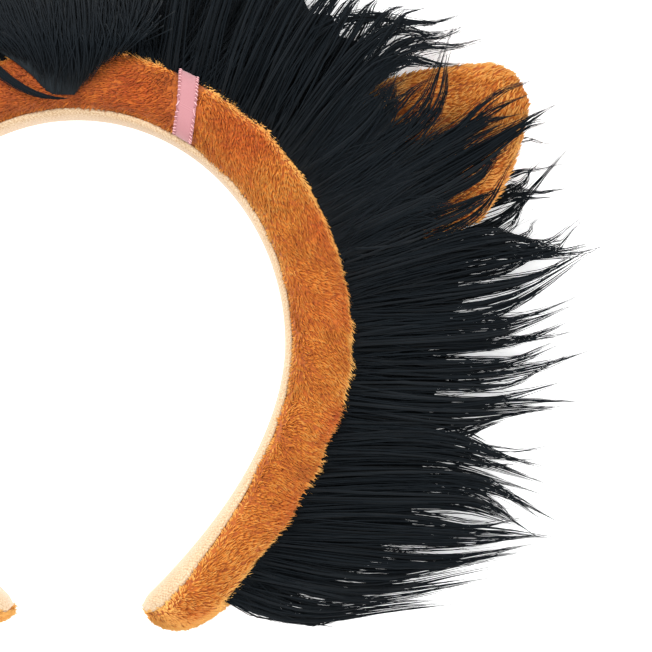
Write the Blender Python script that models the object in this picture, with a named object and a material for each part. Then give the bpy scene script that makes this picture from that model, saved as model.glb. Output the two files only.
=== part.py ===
"""Costume headband: a padded plush arch with a knit lining, a ribbon, two ears and a long-haired mane.

It lies on its flat back, as it was photographed. X runs across the head, Y from the head up to the
crown and Z from the back of the band to its front. The origin is on the flat back, under the crown.
Lengths are in metres. A place along the arch is a share of the way from the crown to a tip, with the
wearer's left half, which is on the viewer's right, as the positive one.
"""

import math

import bmesh
import bpy
import numpy as np

# The line that the band draws round the head
HEAD_HALF_WIDTH = 0.065
CROWN_RISE = 0.070
TIP_DROP = 0.0810
TIP_TUCK = 0.0456
TUCK_POWER = 1.85

# The padded band and its lining
BAND_THICKNESS = 0.023
BAND_DEPTH = 0.034
BACK_FLAT = 0.0006
SECTION_POWER = 3.0
TOE_LENGTH = 0.020
TOE_POWER = 2.2
TOE_BLUNTNESS = 0.95
TOE_SLOPE = 0.30
END_ROUNDING = 0.35
LINING_THICKNESS = 0.0012
LINING_BACK_SEAM = 225
SEAM_GAP = 0.0003
BAND_RINGS = 42
BAND_SIDES = 24

# Thickness of the band along the arch
THICKNESS_COLUMNS = ("place", "thickness")
THICKNESS_TABLE = (
    (0.00, 1.04),
    (0.17, 0.96),
    (0.28, 1.00),
    (0.55, 1.00),
    (0.72, 0.90),
    (1.00, 0.88),
)

# Where the lining's front seam runs, in degrees round the section from its outer side
SEAM_COLUMNS = ("place", "angle")
SEAM_TABLE = (
    (0.00, 139),
    (0.50, 160),
    (0.72, 150),
    (0.87, 138),
    (1.00, 114),
)

# The ribbon sewn across the front
RIBBON_PLACE = 0.150
RIBBON_WIDTH = 0.0065
RIBBON_THICKNESS = 0.0008
RIBBON_SLANT = 0.0078
RIBBON_OUTER_ANGLE = 30

# The ears
EAR_PLACE = 0.375
EAR_TURN = 11.5
EAR_LENGTH = 0.0705
EAR_HALF_WIDTH = 0.025
EAR_HALF_THICKNESS = 0.0065
EAR_DISH = 0.0025
EAR_SIDES = 14
EAR_COLUMNS = ("along", "width", "thickness", "dish")
EAR_TABLE = (
    (0.00, 0.76, 0.85, 0.0),
    (0.18, 0.84, 1.00, 0.4),
    (0.36, 0.92, 1.00, 0.8),
    (0.52, 1.00, 1.00, 1.0),
    (0.66, 0.92, 0.94, 0.9),
    (0.77, 0.80, 0.86, 0.7),
    (0.86, 0.65, 0.76, 0.4),
    (0.93, 0.48, 0.62, 0.2),
    (0.98, 0.27, 0.42, 0.0),
    (1.00, 0.10, 0.20, 0.0),
)

# The mane: a front layer and a back layer with the ears between them
MANE_REACH = 0.080
MANE_RISE = 0.036
MANE_TIP_THICKNESS = 0.0012
MANE_FALL = 0.011
MANE_LAYER_GAP = 0.0006
BACK_REACH = 0.84
BACK_SHIFT = 0.008
BACK_TOP = 0.016
EAR_CLEARANCE = 0.0006
EAR_MARGIN = 0.011
FRONT_ROWS = 7
BACK_ROWS = 5

# One row a lock from the crown to the tip: place, reach, aim, curl, notch. Aim is where the lock ends,
# in degrees above level, and curl is how much it turned on the way. Notch is where it parts from the
# next lock.
LOCK_TABLE = (
    (0.000, 0.84, 90, 0, 0.66),
    (0.040, 0.74, 85, 4, 0.70),
    (0.080, 0.88, 80, -4, 0.62),
    (0.120, 0.76, 75, -6, 0.70),
    (0.155, 0.86, 68, -8, 0.64),
    (0.190, 0.74, 61, -10, 0.70),
    (0.220, 0.80, 54, -14, 0.60),
    (0.250, 0.78, 47, -20, 0.62),
    (0.275, 0.82, 41, -20, 0.56),
    (0.300, 0.72, 38, -16, 0.60),
    (0.325, 0.80, 36, -6, 0.55),
    (0.350, 0.90, 33, 0, 0.52),
    (0.380, 1.00, 29, 4, 0.50),
    (0.410, 0.96, 27, 10, 0.48),
    (0.435, 0.90, 23, 10, 0.54),
    (0.460, 0.86, 18, 12, 0.52),
    (0.485, 1.06, 15, 14, 0.46),
    (0.510, 0.84, 9, 8, 0.56),
    (0.535, 0.80, 7, 8, 0.52),
    (0.560, 0.95, 4, 10, 0.42),
    (0.585, 0.82, 2, 8, 0.42),
    (0.610, 0.88, 1, 8, 0.50),
    (0.635, 0.72, 0, 4, 0.54),
    (0.665, 0.70, -1, 0, 0.62),
    (0.695, 0.84, -3, -6, 0.58),
    (0.720, 0.96, -4, -8, 0.52),
    (0.745, 0.86, -3, -6, 0.56),
    (0.770, 1.08, -2, -2, 0.48),
    (0.795, 0.96, 0, 8, 0.56),
    (0.820, 0.90, 1, 10, 0.56),
    (0.845, 0.86, -1, 12, 0.54),
    (0.870, 0.76, -4, 16, 0.60),
    (0.893, 0.60, -8, 22, 0.60),
)

# Height of the mane along a lock
RISE_COLUMNS = ("along", "front", "back")
RISE_TABLE = (
    (0.00, 0.80, 1.00),
    (0.15, 1.00, 0.95),
    (0.40, 0.84, 0.70),
    (0.70, 0.48, 0.40),
    (1.00, 0.00, 0.08),
)

# The forelock that hangs over the crown, from its root down to its tip. Each row of its table holds
# how far down it lies, its left and right sides and its thickness.
FORELOCK_DROP = 0.0215
FORELOCK_ROOT = 0.0035
FORELOCK_HALF_WIDTH = 0.0198
FORELOCK_THICKNESS = 0.0075
FORELOCK_SIDES = 12
FORELOCK_TABLE = (
    (0.00, -1.28, 0.62, 0.60),
    (0.22, -1.23, 0.60, 0.90),
    (0.45, -1.07, 0.47, 1.00),
    (0.68, -0.89, 0.29, 0.90),
    (0.86, -0.75, 0.14, 0.70),
    (1.00, -0.58, -0.07, 0.34),
)

COLLECTION = "costume_headband"

# Colour, as the photograph shows it, and roughness
FINISHES = {
    "plush_orange": ((0.52, 0.17, 0.035), 0.95),
    "lining_cream": ((0.76, 0.52, 0.33), 0.90),
    "pink_ribbon": ((0.81, 0.38, 0.40), 0.55),
    "fur_black": ((0.011, 0.013, 0.015), 0.60),
}


def clear_scene():
    for item in list(bpy.data.objects):
        bpy.data.objects.remove(item, do_unlink=True)


def table_values(names, table, at, wanted):
    """The wanted column of a table, read between its rows."""
    rows = np.array(table)
    return np.interp(at, rows[:, 0], rows[:, names.index(wanted)])


def unit(degrees):
    turn = np.radians(degrees)
    return np.stack([np.cos(turn), np.sin(turn)], axis=-1)


def band_thickness(place):
    """Thickness of the band, drawn in to a blunt toe at the tips."""
    full = BAND_THICKNESS * table_values(THICKNESS_COLUMNS, THICKNESS_TABLE, np.abs(place), "thickness")
    return full * (1 - (TOE_BLUNTNESS * toe_share(place)) ** TOE_POWER) ** (1 / TOE_POWER)


def toe_share(place):
    """How far into the toe a place lies, from 0 where it starts to 1 at the tip."""
    left = (1 - np.abs(place)) * HALF_LENGTH
    return np.clip(1 - left / TOE_LENGTH, 0, 1)


def inner_line(count=300):
    """Points of the inner line from the crown to the right tip, and how far along it each lies.

    Above the widest level it is a quarter of an ellipse. Below, it tucks in by a power of the drop.
    """
    turn = np.linspace(0, math.pi / 2, count)
    drop = np.linspace(0, 1, count)[1:]
    upper = np.stack([HEAD_HALF_WIDTH * np.sin(turn), CROWN_RISE * np.cos(turn)], axis=1)
    lower = np.stack([HEAD_HALF_WIDTH - TIP_TUCK * drop**TUCK_POWER, -TIP_DROP * drop], axis=1)
    points = np.concatenate([upper, lower])
    steps = np.linalg.norm(np.diff(points, axis=0), axis=1)
    return points, np.concatenate([[0], np.cumsum(steps)])


LINE, ALONG = inner_line()
HALF_LENGTH = ALONG[-1]
LINE_SLOPE = np.gradient(LINE, ALONG, axis=0)
WIDEST_LEVEL = -CROWN_RISE - band_thickness(0) / 2


def arch(place, out):
    """XY of a place along the arch, this far out from the inner line."""
    place, out = np.broadcast_arrays(np.asarray(place, float), out)
    at = np.abs(place) * HALF_LENGTH
    x, y = (np.interp(at, ALONG, LINE[:, i]) for i in (0, 1))
    run, rise = (np.interp(at, ALONG, LINE_SLOPE[:, i]) for i in (0, 1))
    length = np.hypot(run, rise)
    x = x - out * rise / length
    y = y + out * run / length
    return np.stack([np.where(place < 0, -x, x), y + WIDEST_LEVEL], axis=-1)


def outward(place):
    """Direction in which the band faces away from the head, in degrees above level."""
    away = arch(place, 1.0) - arch(place, 0.0)
    return math.degrees(math.atan2(away[1], away[0]))


def band_section(place, degrees, puff=0.0):
    """Points round the padding at one place: XYZ for each angle, moved out by the puff.

    The section is a rounded rectangle: a superellipse whose back is cut level with the floor. Its
    angles start at the side away from the head and turn by way of the front.
    """
    toe = toe_share(place)
    start = LINING_THICKNESS + SEAM_GAP
    thickness = band_thickness(place)
    depth = BAND_DEPTH * (1 - TOE_SLOPE * toe**2)
    rounding = 1 - END_ROUNDING * np.clip((toe - 0.8) / 0.2, 0, 1) ** 2
    turn = np.radians(degrees)
    across, up = (np.sign(f) * np.abs(f) ** (2 / SECTION_POWER) for f in (np.cos(turn), np.sin(turn)))
    out = (start + thickness) / 2 + across * ((thickness - start) / 2 * rounding + puff)
    height = depth / 2 - BACK_FLAT + up * (depth / 2 * rounding + puff)
    flat = arch(np.full(out.shape, place), out)
    return np.column_stack([flat, np.maximum(height, 0)])


def places_along_band():
    """Stations from tip to tip, closer together in the toes."""
    toe = TOE_LENGTH / HALF_LENGTH
    body = np.linspace(0, 1 - toe, BAND_RINGS // 2 - 4)
    half = np.concatenate([body, 1 - toe * np.array([0.66, 0.4, 0.2, 0.08, 0])])
    return np.concatenate([-half[:0:-1], half])


def loft(name, rings, finish):
    """A closed body through rings of points.

    The second half of each ring mirrors the first, so its faces are cut along the mirrored diagonal,
    and the two sides of a thin wall stay parallel. The end rings are closed by strips of faces.
    """
    model = bmesh.new()
    made = [[model.verts.new(point) for point in ring] for ring in rings]
    count = len(made[0])
    for first, second in zip(made, made[1:]):
        for i in range(count):
            j = (i + 1) % count
            if i < count // 2:
                model.faces.new((first[i], first[j], second[j]))
                model.faces.new((first[i], second[j], second[i]))
            else:
                model.faces.new((first[i], first[j], second[i]))
                model.faces.new((first[j], second[j], second[i]))
    for ring in (made[0], made[-1]):
        for i in range(count // 2 - 1):
            model.faces.new((ring[i], ring[i + 1], ring[count - 2 - i], ring[count - 1 - i]))
    bmesh.ops.recalc_face_normals(model, faces=model.faces)
    mesh = bpy.data.meshes.new(name)
    model.to_mesh(mesh)
    model.free()
    mesh.materials.append(finish_material(finish))
    piece = bpy.data.objects.new(name, mesh)
    part_collection().objects.link(piece)
    return piece


def part_collection():
    if COLLECTION not in bpy.data.collections:
        bpy.context.scene.collection.children.link(bpy.data.collections.new(COLLECTION))
    return bpy.data.collections[COLLECTION]


def finish_material(name):
    if name in bpy.data.materials:
        return bpy.data.materials[name]
    colour, roughness = FINISHES[name]
    material = bpy.data.materials.new(name)
    material.use_nodes = True
    shader = material.node_tree.nodes["Principled BSDF"]
    shader.inputs["Base Color"].default_value = (*colour, 1)
    shader.inputs["Roughness"].default_value = roughness
    shader.inputs["Metallic"].default_value = 0
    material.diffuse_color = (*colour, 1)
    return material


def build_padded_band():
    angles = np.arange(BAND_SIDES) * 360 / BAND_SIDES
    loft("padded_band", [band_section(place, angles) for place in places_along_band()], "plush_orange")


def build_inner_lining():
    """A strip of knit cloth that wraps the side toward the head, from its front seam to its back seam."""
    rings = []
    for place in places_along_band():
        seam = table_values(SEAM_COLUMNS, SEAM_TABLE, abs(place), "angle")
        front = np.linspace(seam, 180, 5)[:-1]
        back = np.arange(180, LINING_BACK_SEAM + 1, 360 / BAND_SIDES)
        angles = np.concatenate([front, back])
        outer = band_section(place, angles, SEAM_GAP + LINING_THICKNESS)
        inner = band_section(place, angles[::-1], SEAM_GAP)
        rings.append(np.concatenate([outer, inner]))
    loft("inner_lining", rings, "lining_cream")


def build_pink_strip():
    """A ribbon across the front, from the lining's seam to the band's outer side."""
    step = 360 / BAND_SIDES
    seam = table_values(SEAM_COLUMNS, SEAM_TABLE, RIBBON_PLACE, "angle")
    last = math.floor((seam - 4) / step) * step
    rings = []
    for angle in np.arange(RIBBON_OUTER_ANGLE, last + 1, step):
        across = math.copysign(abs(math.cos(math.radians(angle))) ** (2 / SECTION_POWER), 90 - angle)
        place = RIBBON_PLACE - RIBBON_SLANT / 2 / HALF_LENGTH * across
        half = np.append(unit(outward(place) - 90) * RIBBON_WIDTH / 2, 0)
        over, under = (
            band_section(place, np.array([angle]), puff)[0] for puff in (SEAM_GAP + RIBBON_THICKNESS, SEAM_GAP)
        )
        rings.append([over - half, over + half, under + half, under - half])
    loft("pink_strip", rings, "pink_ribbon")


def ear_frame():
    """The right ear's root on the band's outer edge, its direction and its way across, in XY."""
    aim = outward(EAR_PLACE) + EAR_TURN
    root = arch(EAR_PLACE, band_thickness(EAR_PLACE) + SEAM_GAP)
    return root, unit(aim), unit(aim + 90)


def build_ear(name, side):
    """A padded leaf with a dished front. Its root is square to the band, and the rest to its aim."""
    root, along, across = ear_frame()
    level = BAND_DEPTH / 2 - BACK_FLAT
    lean = unit(outward(EAR_PLACE) + 90)
    turn = np.radians(90 + np.arange(EAR_SIDES) * 360 / EAR_SIDES + 180 / EAR_SIDES)
    rings = []
    for at, width, thickness, dish in EAR_TABLE:
        wide = (lean if at == 0 else across) * EAR_HALF_WIDTH * width
        flat = root + along * EAR_LENGTH * at + np.cos(turn)[:, None] * wide
        front = np.maximum(np.sin(turn), 0)
        height = level + EAR_HALF_THICKNESS * thickness * np.sin(turn) - EAR_DISH * dish * front**2
        rings.append(np.column_stack([flat[:, 0] * side, flat[:, 1], height]))
    loft(name, rings, "plush_orange")


def near_ear(flat):
    """Whether each XY point lies over or under an ear, with a margin all round."""
    root, along, across = ear_frame()
    offset = np.stack([np.abs(flat[..., 0]), flat[..., 1]], axis=-1) - root
    ahead = offset @ along
    aside = np.abs(offset @ across)
    width = EAR_HALF_WIDTH * table_values(EAR_COLUMNS, EAR_TABLE, ahead / EAR_LENGTH, "width")
    return (aside < width + EAR_MARGIN) & (ahead < EAR_LENGTH + EAR_MARGIN)


def mane_columns(shift, reach_share, rows):
    """XY paths of the locks and of the notches between them, from the left end to the right one.

    A path leaves the band's outer edge at its aim less its curl and ends on its aim.
    """
    locks = np.array(LOCK_TABLE)
    between = (locks[:-1] + locks[1:]) / 2
    between[:, 1] *= locks[:-1, 4]
    half = np.empty((len(locks) + len(between), locks.shape[1]))
    half[0::2] = locks
    half[1::2] = between
    place, reach, aim, curl, _ = half.T
    place = np.minimum(place + shift, place[-1])
    root = arch(place, band_thickness(place) + SEAM_GAP)[:, None]
    length = (reach * MANE_REACH * reach_share)[:, None, None]
    middle = root + length / 2 * unit(aim - curl)[:, None]
    end = root + length * unit(aim)[:, None]
    t = np.linspace(0, 1, rows)[None, :, None]
    right = (1 - t) ** 2 * root + 2 * t * (1 - t) * middle + t**2 * end
    left = right[::-1] * (-1, 1)
    return np.concatenate([left if shift else left[:-1], right])


def mane_level(flat):
    """Height at which the mane's two layers meet. It falls with the distance from the band's edge."""
    places = np.linspace(-1, 1, 161)
    edge = arch(places, band_thickness(places))
    away = np.linalg.norm(flat[..., None, :] - edge, axis=-1).min(axis=-1)
    return BAND_DEPTH / 2 - BACK_FLAT - MANE_FALL * away / MANE_REACH


def mane_rings(flat, under, over):
    top = np.concatenate([flat, over[..., None]], axis=-1)
    bottom = np.concatenate([flat, under[..., None]], axis=-1)
    return np.concatenate([top, bottom[:, ::-1]], axis=1)


def build_mane_front():
    """The front layer, which lies over the ears' roots."""
    flat = mane_columns(0, 1, FRONT_ROWS)
    along = np.linspace(0, 1, FRONT_ROWS)
    rise = MANE_RISE * table_values(RISE_COLUMNS, RISE_TABLE, along, "front")
    lifted = np.maximum.accumulate(near_ear(flat), axis=1)
    over_ear = BAND_DEPTH / 2 - BACK_FLAT + EAR_HALF_THICKNESS + EAR_CLEARANCE
    under = mane_level(flat) + MANE_LAYER_GAP / 2
    under = np.where(lifted, np.maximum(under, over_ear), under)
    loft("mane_front", mane_rings(flat, under, np.maximum(rise, under + MANE_TIP_THICKNESS)), "fur_black")


def build_mane_back():
    """The back layer, which rests on the floor and runs under the ears."""
    flat = mane_columns(BACK_SHIFT, BACK_REACH, BACK_ROWS)
    along = np.linspace(0, 1, BACK_ROWS)
    rise = BACK_TOP * table_values(RISE_COLUMNS, RISE_TABLE, along, "back")
    over = np.minimum(mane_level(flat) - MANE_LAYER_GAP / 2, rise)
    under_ear = BAND_DEPTH / 2 - BACK_FLAT - EAR_HALF_THICKNESS - EAR_CLEARANCE
    over = np.where(near_ear(flat), np.minimum(over, under_ear), over)
    loft("mane_back", mane_rings(flat, np.zeros(over.shape), over), "fur_black")


def build_forelock():
    """A lock swept to the left over the crown's front."""
    floor = BAND_DEPTH - BACK_FLAT + SEAM_GAP
    start = band_thickness(0) + FORELOCK_ROOT
    turn = np.radians(90 + np.arange(FORELOCK_SIDES) * 360 / FORELOCK_SIDES + 180 / FORELOCK_SIDES)
    rings = []
    for down, left, right, thickness in FORELOCK_TABLE:
        spread = (left + right) / 2 + (right - left) / 2 * np.cos(turn)
        flat = arch(FORELOCK_HALF_WIDTH / HALF_LENGTH * spread, start - FORELOCK_DROP * down)
        height = floor + FORELOCK_THICKNESS * thickness * (1 + np.sin(turn)) / 2
        rings.append(np.column_stack([flat, height]))
    loft("forelock", rings, "fur_black")


def main():
    clear_scene()
    build_padded_band()
    build_inner_lining()
    build_pink_strip()
    build_mane_front()
    build_mane_back()
    build_forelock()
    build_ear("ear_right", 1)
    build_ear("ear_left", -1)


main()
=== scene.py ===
# %% [markdown]
# # A plush headband with ears and a long mane
#
# The real thing is a padded arch in short-pile plush. A strip of knit cloth lines the side toward the
# head, a ribbon is sewn across the front, and long black hair stands out all round the outer edge,
# with a plush ear on each side and a forelock over the crown. It was photographed lying on its flat
# back, from straight above.
#
# The solids made in the CAD step have the right size and place but no hair. This script dresses them:
# every soft piece is worked out with numpy as a surface or as a bundle of strands, and replaces the
# plain solid of the same place.

# %% Load the frame and keep its box
import math

import bpy
import numpy as np
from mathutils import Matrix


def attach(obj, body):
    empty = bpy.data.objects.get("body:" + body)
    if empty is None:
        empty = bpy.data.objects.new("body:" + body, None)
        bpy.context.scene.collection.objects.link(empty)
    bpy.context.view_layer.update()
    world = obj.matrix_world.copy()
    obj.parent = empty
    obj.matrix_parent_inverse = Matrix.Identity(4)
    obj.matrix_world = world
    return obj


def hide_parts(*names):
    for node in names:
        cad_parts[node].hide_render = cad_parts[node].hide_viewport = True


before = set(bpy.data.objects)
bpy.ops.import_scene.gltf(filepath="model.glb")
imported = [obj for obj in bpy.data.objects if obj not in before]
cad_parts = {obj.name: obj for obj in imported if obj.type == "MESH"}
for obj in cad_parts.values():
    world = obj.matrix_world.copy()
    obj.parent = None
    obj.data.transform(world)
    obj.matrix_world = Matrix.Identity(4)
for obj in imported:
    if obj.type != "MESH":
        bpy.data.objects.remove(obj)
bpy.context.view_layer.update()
MM = 0.001

# %% [markdown]
# ## The arch
#
# Nearly everything here is placed along one line: the edge that touches the head. Above its widest
# level that line is a quarter of an ellipse, and below it tucks in toward the jaw by a power of the
# drop. A place on it is a share from 0 at the crown to 1 at a tip, and below 0 on the other side. A
# spline through picked points could hold the line too, but the formula keeps it smooth at any spacing.

# %% The line toward the head
HEAD_HALF_WIDTH = 65 * MM
CROWN_RISE = 70 * MM
TIP_DROP = 81 * MM
TIP_TUCK = 45.6 * MM
TUCK_POWER = 1.85

turn = np.linspace(0, math.pi / 2, 400)
drop = np.linspace(0, 1, 400)[1:]
upper = np.stack([HEAD_HALF_WIDTH * np.sin(turn), CROWN_RISE * np.cos(turn)], axis=1)
lower = np.stack([HEAD_HALF_WIDTH - TIP_TUCK * drop**TUCK_POWER, -TIP_DROP * drop], axis=1)
LINE = np.concatenate([upper, lower])
ALONG = np.concatenate([[0], np.cumsum(np.linalg.norm(np.diff(LINE, axis=0), axis=1))])
HALF_LENGTH = ALONG[-1]
SLOPE = np.gradient(LINE, ALONG, axis=0)
print("half of the arch is", round(HALF_LENGTH / MM, 1), "mm long")

# %% The band's thickness and depth
BAND_THICKNESS = 23 * MM
BAND_DEPTH = 34 * MM
BACK_FLAT = 0.6 * MM
SECTION_POWER = 3.0
TOE_LENGTH = 20 * MM
TOE_BLUNTNESS = 0.95
TOE_POWER = 2.2
LINING_THICKNESS = 1.2 * MM
SEAM_GAP = 0.3 * MM
LEVEL = BAND_DEPTH / 2 - BACK_FLAT

THICKNESS_PLACES = (0, 0.17, 0.28, 0.55, 0.72, 1)
THICKNESS_SHARES = (1.04, 0.96, 1.0, 1.0, 0.90, 0.88)


def toe_share(place):
    """How far into the toe a place lies: 0 up to where it starts, 1 at the tip."""
    return np.clip(1 - (1 - np.abs(place)) * HALF_LENGTH / TOE_LENGTH, 0, 1)


def band_thickness(place):
    """Thickness from the table, times a quarter of a superellipse that draws the toe in."""
    full = BAND_THICKNESS * np.interp(np.abs(place), THICKNESS_PLACES, THICKNESS_SHARES)
    return full * (1 - (TOE_BLUNTNESS * toe_share(place)) ** TOE_POWER) ** (1 / TOE_POWER)


CENTRE_DROP = -CROWN_RISE - band_thickness(0) / 2


def arch(place, out):
    """XY of a place, moved outward by a distance along the line's normal. Left places mirror right."""
    place, out = np.broadcast_arrays(np.asarray(place, float), out)
    at = np.abs(place) * HALF_LENGTH
    x = np.interp(at, ALONG, LINE[:, 0])
    y = np.interp(at, ALONG, LINE[:, 1])
    run = np.interp(at, ALONG, SLOPE[:, 0])
    rise = np.interp(at, ALONG, SLOPE[:, 1])
    size = np.hypot(run, rise)
    x = x - out * rise / size
    y = y + out * run / size + CENTRE_DROP
    return np.stack([np.where(place < 0, -x, x), y], axis=-1)


def squared(wave):
    """A cosine or sine raised to 2 / power with its sign kept, which squares off an oval."""
    return np.sign(wave) * np.abs(wave) ** (2 / SECTION_POWER)


def band_points(place, degrees, puff=0.0):
    """XYZ on the band for places and angles, moved out by the puff.

    The section is a superellipse: squared cosine and sine, each times a half size. Angle 0 faces
    away from the head, 90 the front and 180 the head. Its back is cut level.
    """
    place, degrees = np.broadcast_arrays(np.asarray(place, float), degrees)
    toe = toe_share(place)
    start = LINING_THICKNESS + SEAM_GAP
    thickness = band_thickness(place)
    depth = BAND_DEPTH * (1 - 0.3 * toe**2)
    rounding = 1 - 0.35 * np.clip((toe - 0.8) / 0.2, 0, 1) ** 2
    turn = np.radians(degrees)
    out = (start + thickness) / 2 + squared(np.cos(turn)) * ((thickness - start) / 2 * rounding + puff)
    height = depth / 2 - BACK_FLAT + squared(np.sin(turn)) * (depth / 2 * rounding + puff)
    return np.concatenate([arch(place, out), np.maximum(height, 0)[..., None]], axis=-1)


print("crown is", round(float(band_thickness(0)) / MM, 1), "mm thick")

# %% [markdown]
# ## From arrays to meshes
#
# Every piece below ends as an array of points and an array of faces. One helper turns them into a
# Blender mesh in one go, which is far quicker than adding a vertex at a time, and the same helper
# stores a number for each point where a material needs one.

# %% Mesh helpers
made = {}


def in_scene(name, data):
    """An object with this data, linked to the scene."""
    item = bpy.data.objects.new(name, data)
    bpy.context.scene.collection.objects.link(item)
    return item


def mesh_piece(name, points, faces, material, slot, uv=None, **numbers):
    """A piece from points (n, 3) and faces, a list of (m, corners) index arrays.

    uv is one pair for each point, and each of numbers is one value for each point.
    """
    corners = np.concatenate([f.reshape(-1) for f in faces]).astype(np.int32)
    sizes = np.concatenate([np.full(len(f), f.shape[1]) for f in faces])
    starts = np.concatenate([[0], np.cumsum(sizes)[:-1]]).astype(np.int32)
    mesh = bpy.data.meshes.new(name)
    mesh.vertices.add(len(points))
    mesh.vertices.foreach_set("co", np.asarray(points, np.float32).reshape(-1))
    mesh.loops.add(len(corners))
    mesh.loops.foreach_set("vertex_index", corners)
    mesh.polygons.add(len(sizes))
    mesh.polygons.foreach_set("loop_start", starts)
    mesh.polygons.foreach_set("use_smooth", np.ones(len(sizes), bool))
    mesh.update(calc_edges=True)
    if uv is not None:
        layer = mesh.uv_layers.new(name="UVMap")
        layer.data.foreach_set("uv", np.asarray(uv, np.float32)[corners].reshape(-1))
    for key, values in numbers.items():
        mesh.attributes.new(key, "FLOAT", "POINT").data.foreach_set("value", np.float32(values))
    mesh.materials.append(material)
    piece = in_scene(name, mesh)
    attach(piece, "root")
    made[name] = int((sizes - 2).sum())
    print(name, "has", made[name], "triangles")
    return piece


def tube_faces(rows, columns):
    """Faces of a closed tube of points: quads between its rings, and a fan at each end.

    Point row * columns + column lies on ring row. Two more points, the ends' middles, come last.
    """
    row = np.arange(rows - 1)[:, None] * columns
    here = np.arange(columns)[None]
    there = (here + 1) % columns
    quads = np.stack([row + here, row + there, row + columns + there, row + columns + here], axis=-1)
    middle = rows * columns
    last = (rows - 1) * columns
    start = np.stack([there[0], here[0], np.full(columns, middle)], axis=-1)
    end = np.stack([last + here[0], last + there[0], np.full(columns, middle + 1)], axis=-1)
    return [quads.reshape(-1, 4), np.concatenate([start, end])]


def with_ends(grid):
    """Values of a tube's grid (rows, columns, n), followed by the means of its two end rings."""
    return np.concatenate([grid.reshape(-1, grid.shape[-1]), grid[[0, -1]].mean(axis=1)])


def tube_piece(name, grid, material, slot, uv=None):
    """A piece from a closed tube's grid of points, and of UV pairs where it has them."""
    pairs = None if uv is None else with_ends(uv)
    return mesh_piece(name, with_ends(grid), tube_faces(*grid.shape[:2]), material, slot, uv=pairs)


def normed(rays):
    """The same directions, each one long."""
    return rays / (np.linalg.norm(rays, axis=-1, keepdims=True) + 1e-12)


def quadratic(start, middle, end, t):
    """Points of quadratic Bezier curves, one curve a row, at the shares t."""
    start, middle, end, t = start[:, None], middle[:, None], end[:, None], t[..., None]
    return (1 - t) ** 2 * start + 2 * t * (1 - t) * middle + t**2 * end


def cubic(knots, points, t):
    """Points at the shares t of the cubics that meet four given points at the knots.

    The weights undo the powers of the knots, so each curve goes through its points.
    """
    powers = np.arange(4)
    weights = np.linalg.inv(np.array(knots)[:, None] ** powers)
    return (t[..., None] ** powers) @ (weights @ points)


def waves(points, length, seed, count=7):
    """Smooth noise from -1 to 1: a sum of sine waves of about one length, in seeded directions."""
    rng = np.random.default_rng(seed)
    total = 0
    for _ in range(count):
        ray = rng.normal(size=points.shape[-1])
        ray = ray / np.linalg.norm(ray) * 2 * math.pi / (length * rng.uniform(0.7, 1.5))
        total = total + np.sin(points @ ray + rng.uniform(0, 6.28))
    return total / math.sqrt(count)


# %% [markdown]
# ## Finishes
#
# A finish is a small tree of shader nodes. These helpers keep each tree short: one starts a material
# with its Principled shader, one adds a node and wires it, and the rest are the nodes used most.

# %% Material helpers


def start_material(name, roughness, **constants):
    """A material and its Principled shader, with numbers set on the shader's own sockets."""
    material = bpy.data.materials.new(name)
    material.use_nodes = True
    shader = material.node_tree.nodes["Principled BSDF"]
    shader.inputs["Roughness"].default_value = roughness
    for key, value in constants.items():
        shader.inputs[key.replace("_", " ")].default_value = value
    return material, shader


def node(material, kind, settings=(), **inputs):
    """A new node. settings are its own options, and inputs its sockets' values or wires."""
    made_node = material.node_tree.nodes.new(kind)
    for key, value in dict(settings).items():
        setattr(made_node, key, value)
    for key, value in inputs.items():
        socket = made_node.inputs[int(key[1:]) if key[1:].isdigit() else key.replace("_", " ")]
        if isinstance(value, bpy.types.NodeSocket):
            material.node_tree.links.new(value, socket)
        else:
            socket.default_value = value
    return made_node


def finished(material, shader, colour, normal=None):
    """The material, with its colour and its bumps wired to the shader."""
    material.node_tree.links.new(colour, shader.inputs["Base Color"])
    if normal is not None:
        material.node_tree.links.new(normal, shader.inputs["Normal"])
    return material


def linear(red, green, blue):
    """A colour seen on a screen, from 0 to 255, as the linear values that shaders take."""
    seen = np.array([red, green, blue]) / 255
    return (*np.where(seen < 0.04045, seen / 12.92, ((seen + 0.055) / 1.055) ** 2.4).tolist(), 1.0)


def ramp(material, value, stops):
    """A colour ramp from (position, colour) stops, driven by a value."""
    made_ramp = node(material, "ShaderNodeValToRGB", Fac=value)
    elements = made_ramp.color_ramp.elements
    for index, (position, colour) in enumerate(stops):
        element = elements[index] if index < 2 else elements.new(position)
        element.position = position
        element.color = colour
    return made_ramp.outputs["Color"]


def maths(material, operation, *values):
    """The result of a math node on numbers or wires."""
    sockets = {f"_{index}": value for index, value in enumerate(values)}
    return node(material, "ShaderNodeMath", {"operation": operation}, **sockets).outputs[0]


def multiplied(material, colour, other, factor=1.0):
    """A colour times another one, as far as the factor says."""
    settings = {"data_type": "RGBA", "blend_type": "MULTIPLY"}
    return node(material, "ShaderNodeMix", settings, Factor=factor, _6=colour, _7=other).outputs[2]


def number(material, name):
    """The number that a piece stores for each point under this name."""
    return node(material, "ShaderNodeAttribute", {"attribute_name": name}).outputs["Fac"]


def spot(material, scale, detail=3.0):
    """Noise over the piece's own space."""
    place = node(material, "ShaderNodeTexCoord").outputs["Object"]
    return node(material, "ShaderNodeTexNoise", Vector=place, Scale=scale, Detail=detail)


def bump(material, height, strength, distance):
    """The normal that a height gives when it stands for this distance."""
    made_bump = node(material, "ShaderNodeBump", Height=height, Strength=strength, Distance=distance)
    return made_bump.outputs["Normal"]
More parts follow.
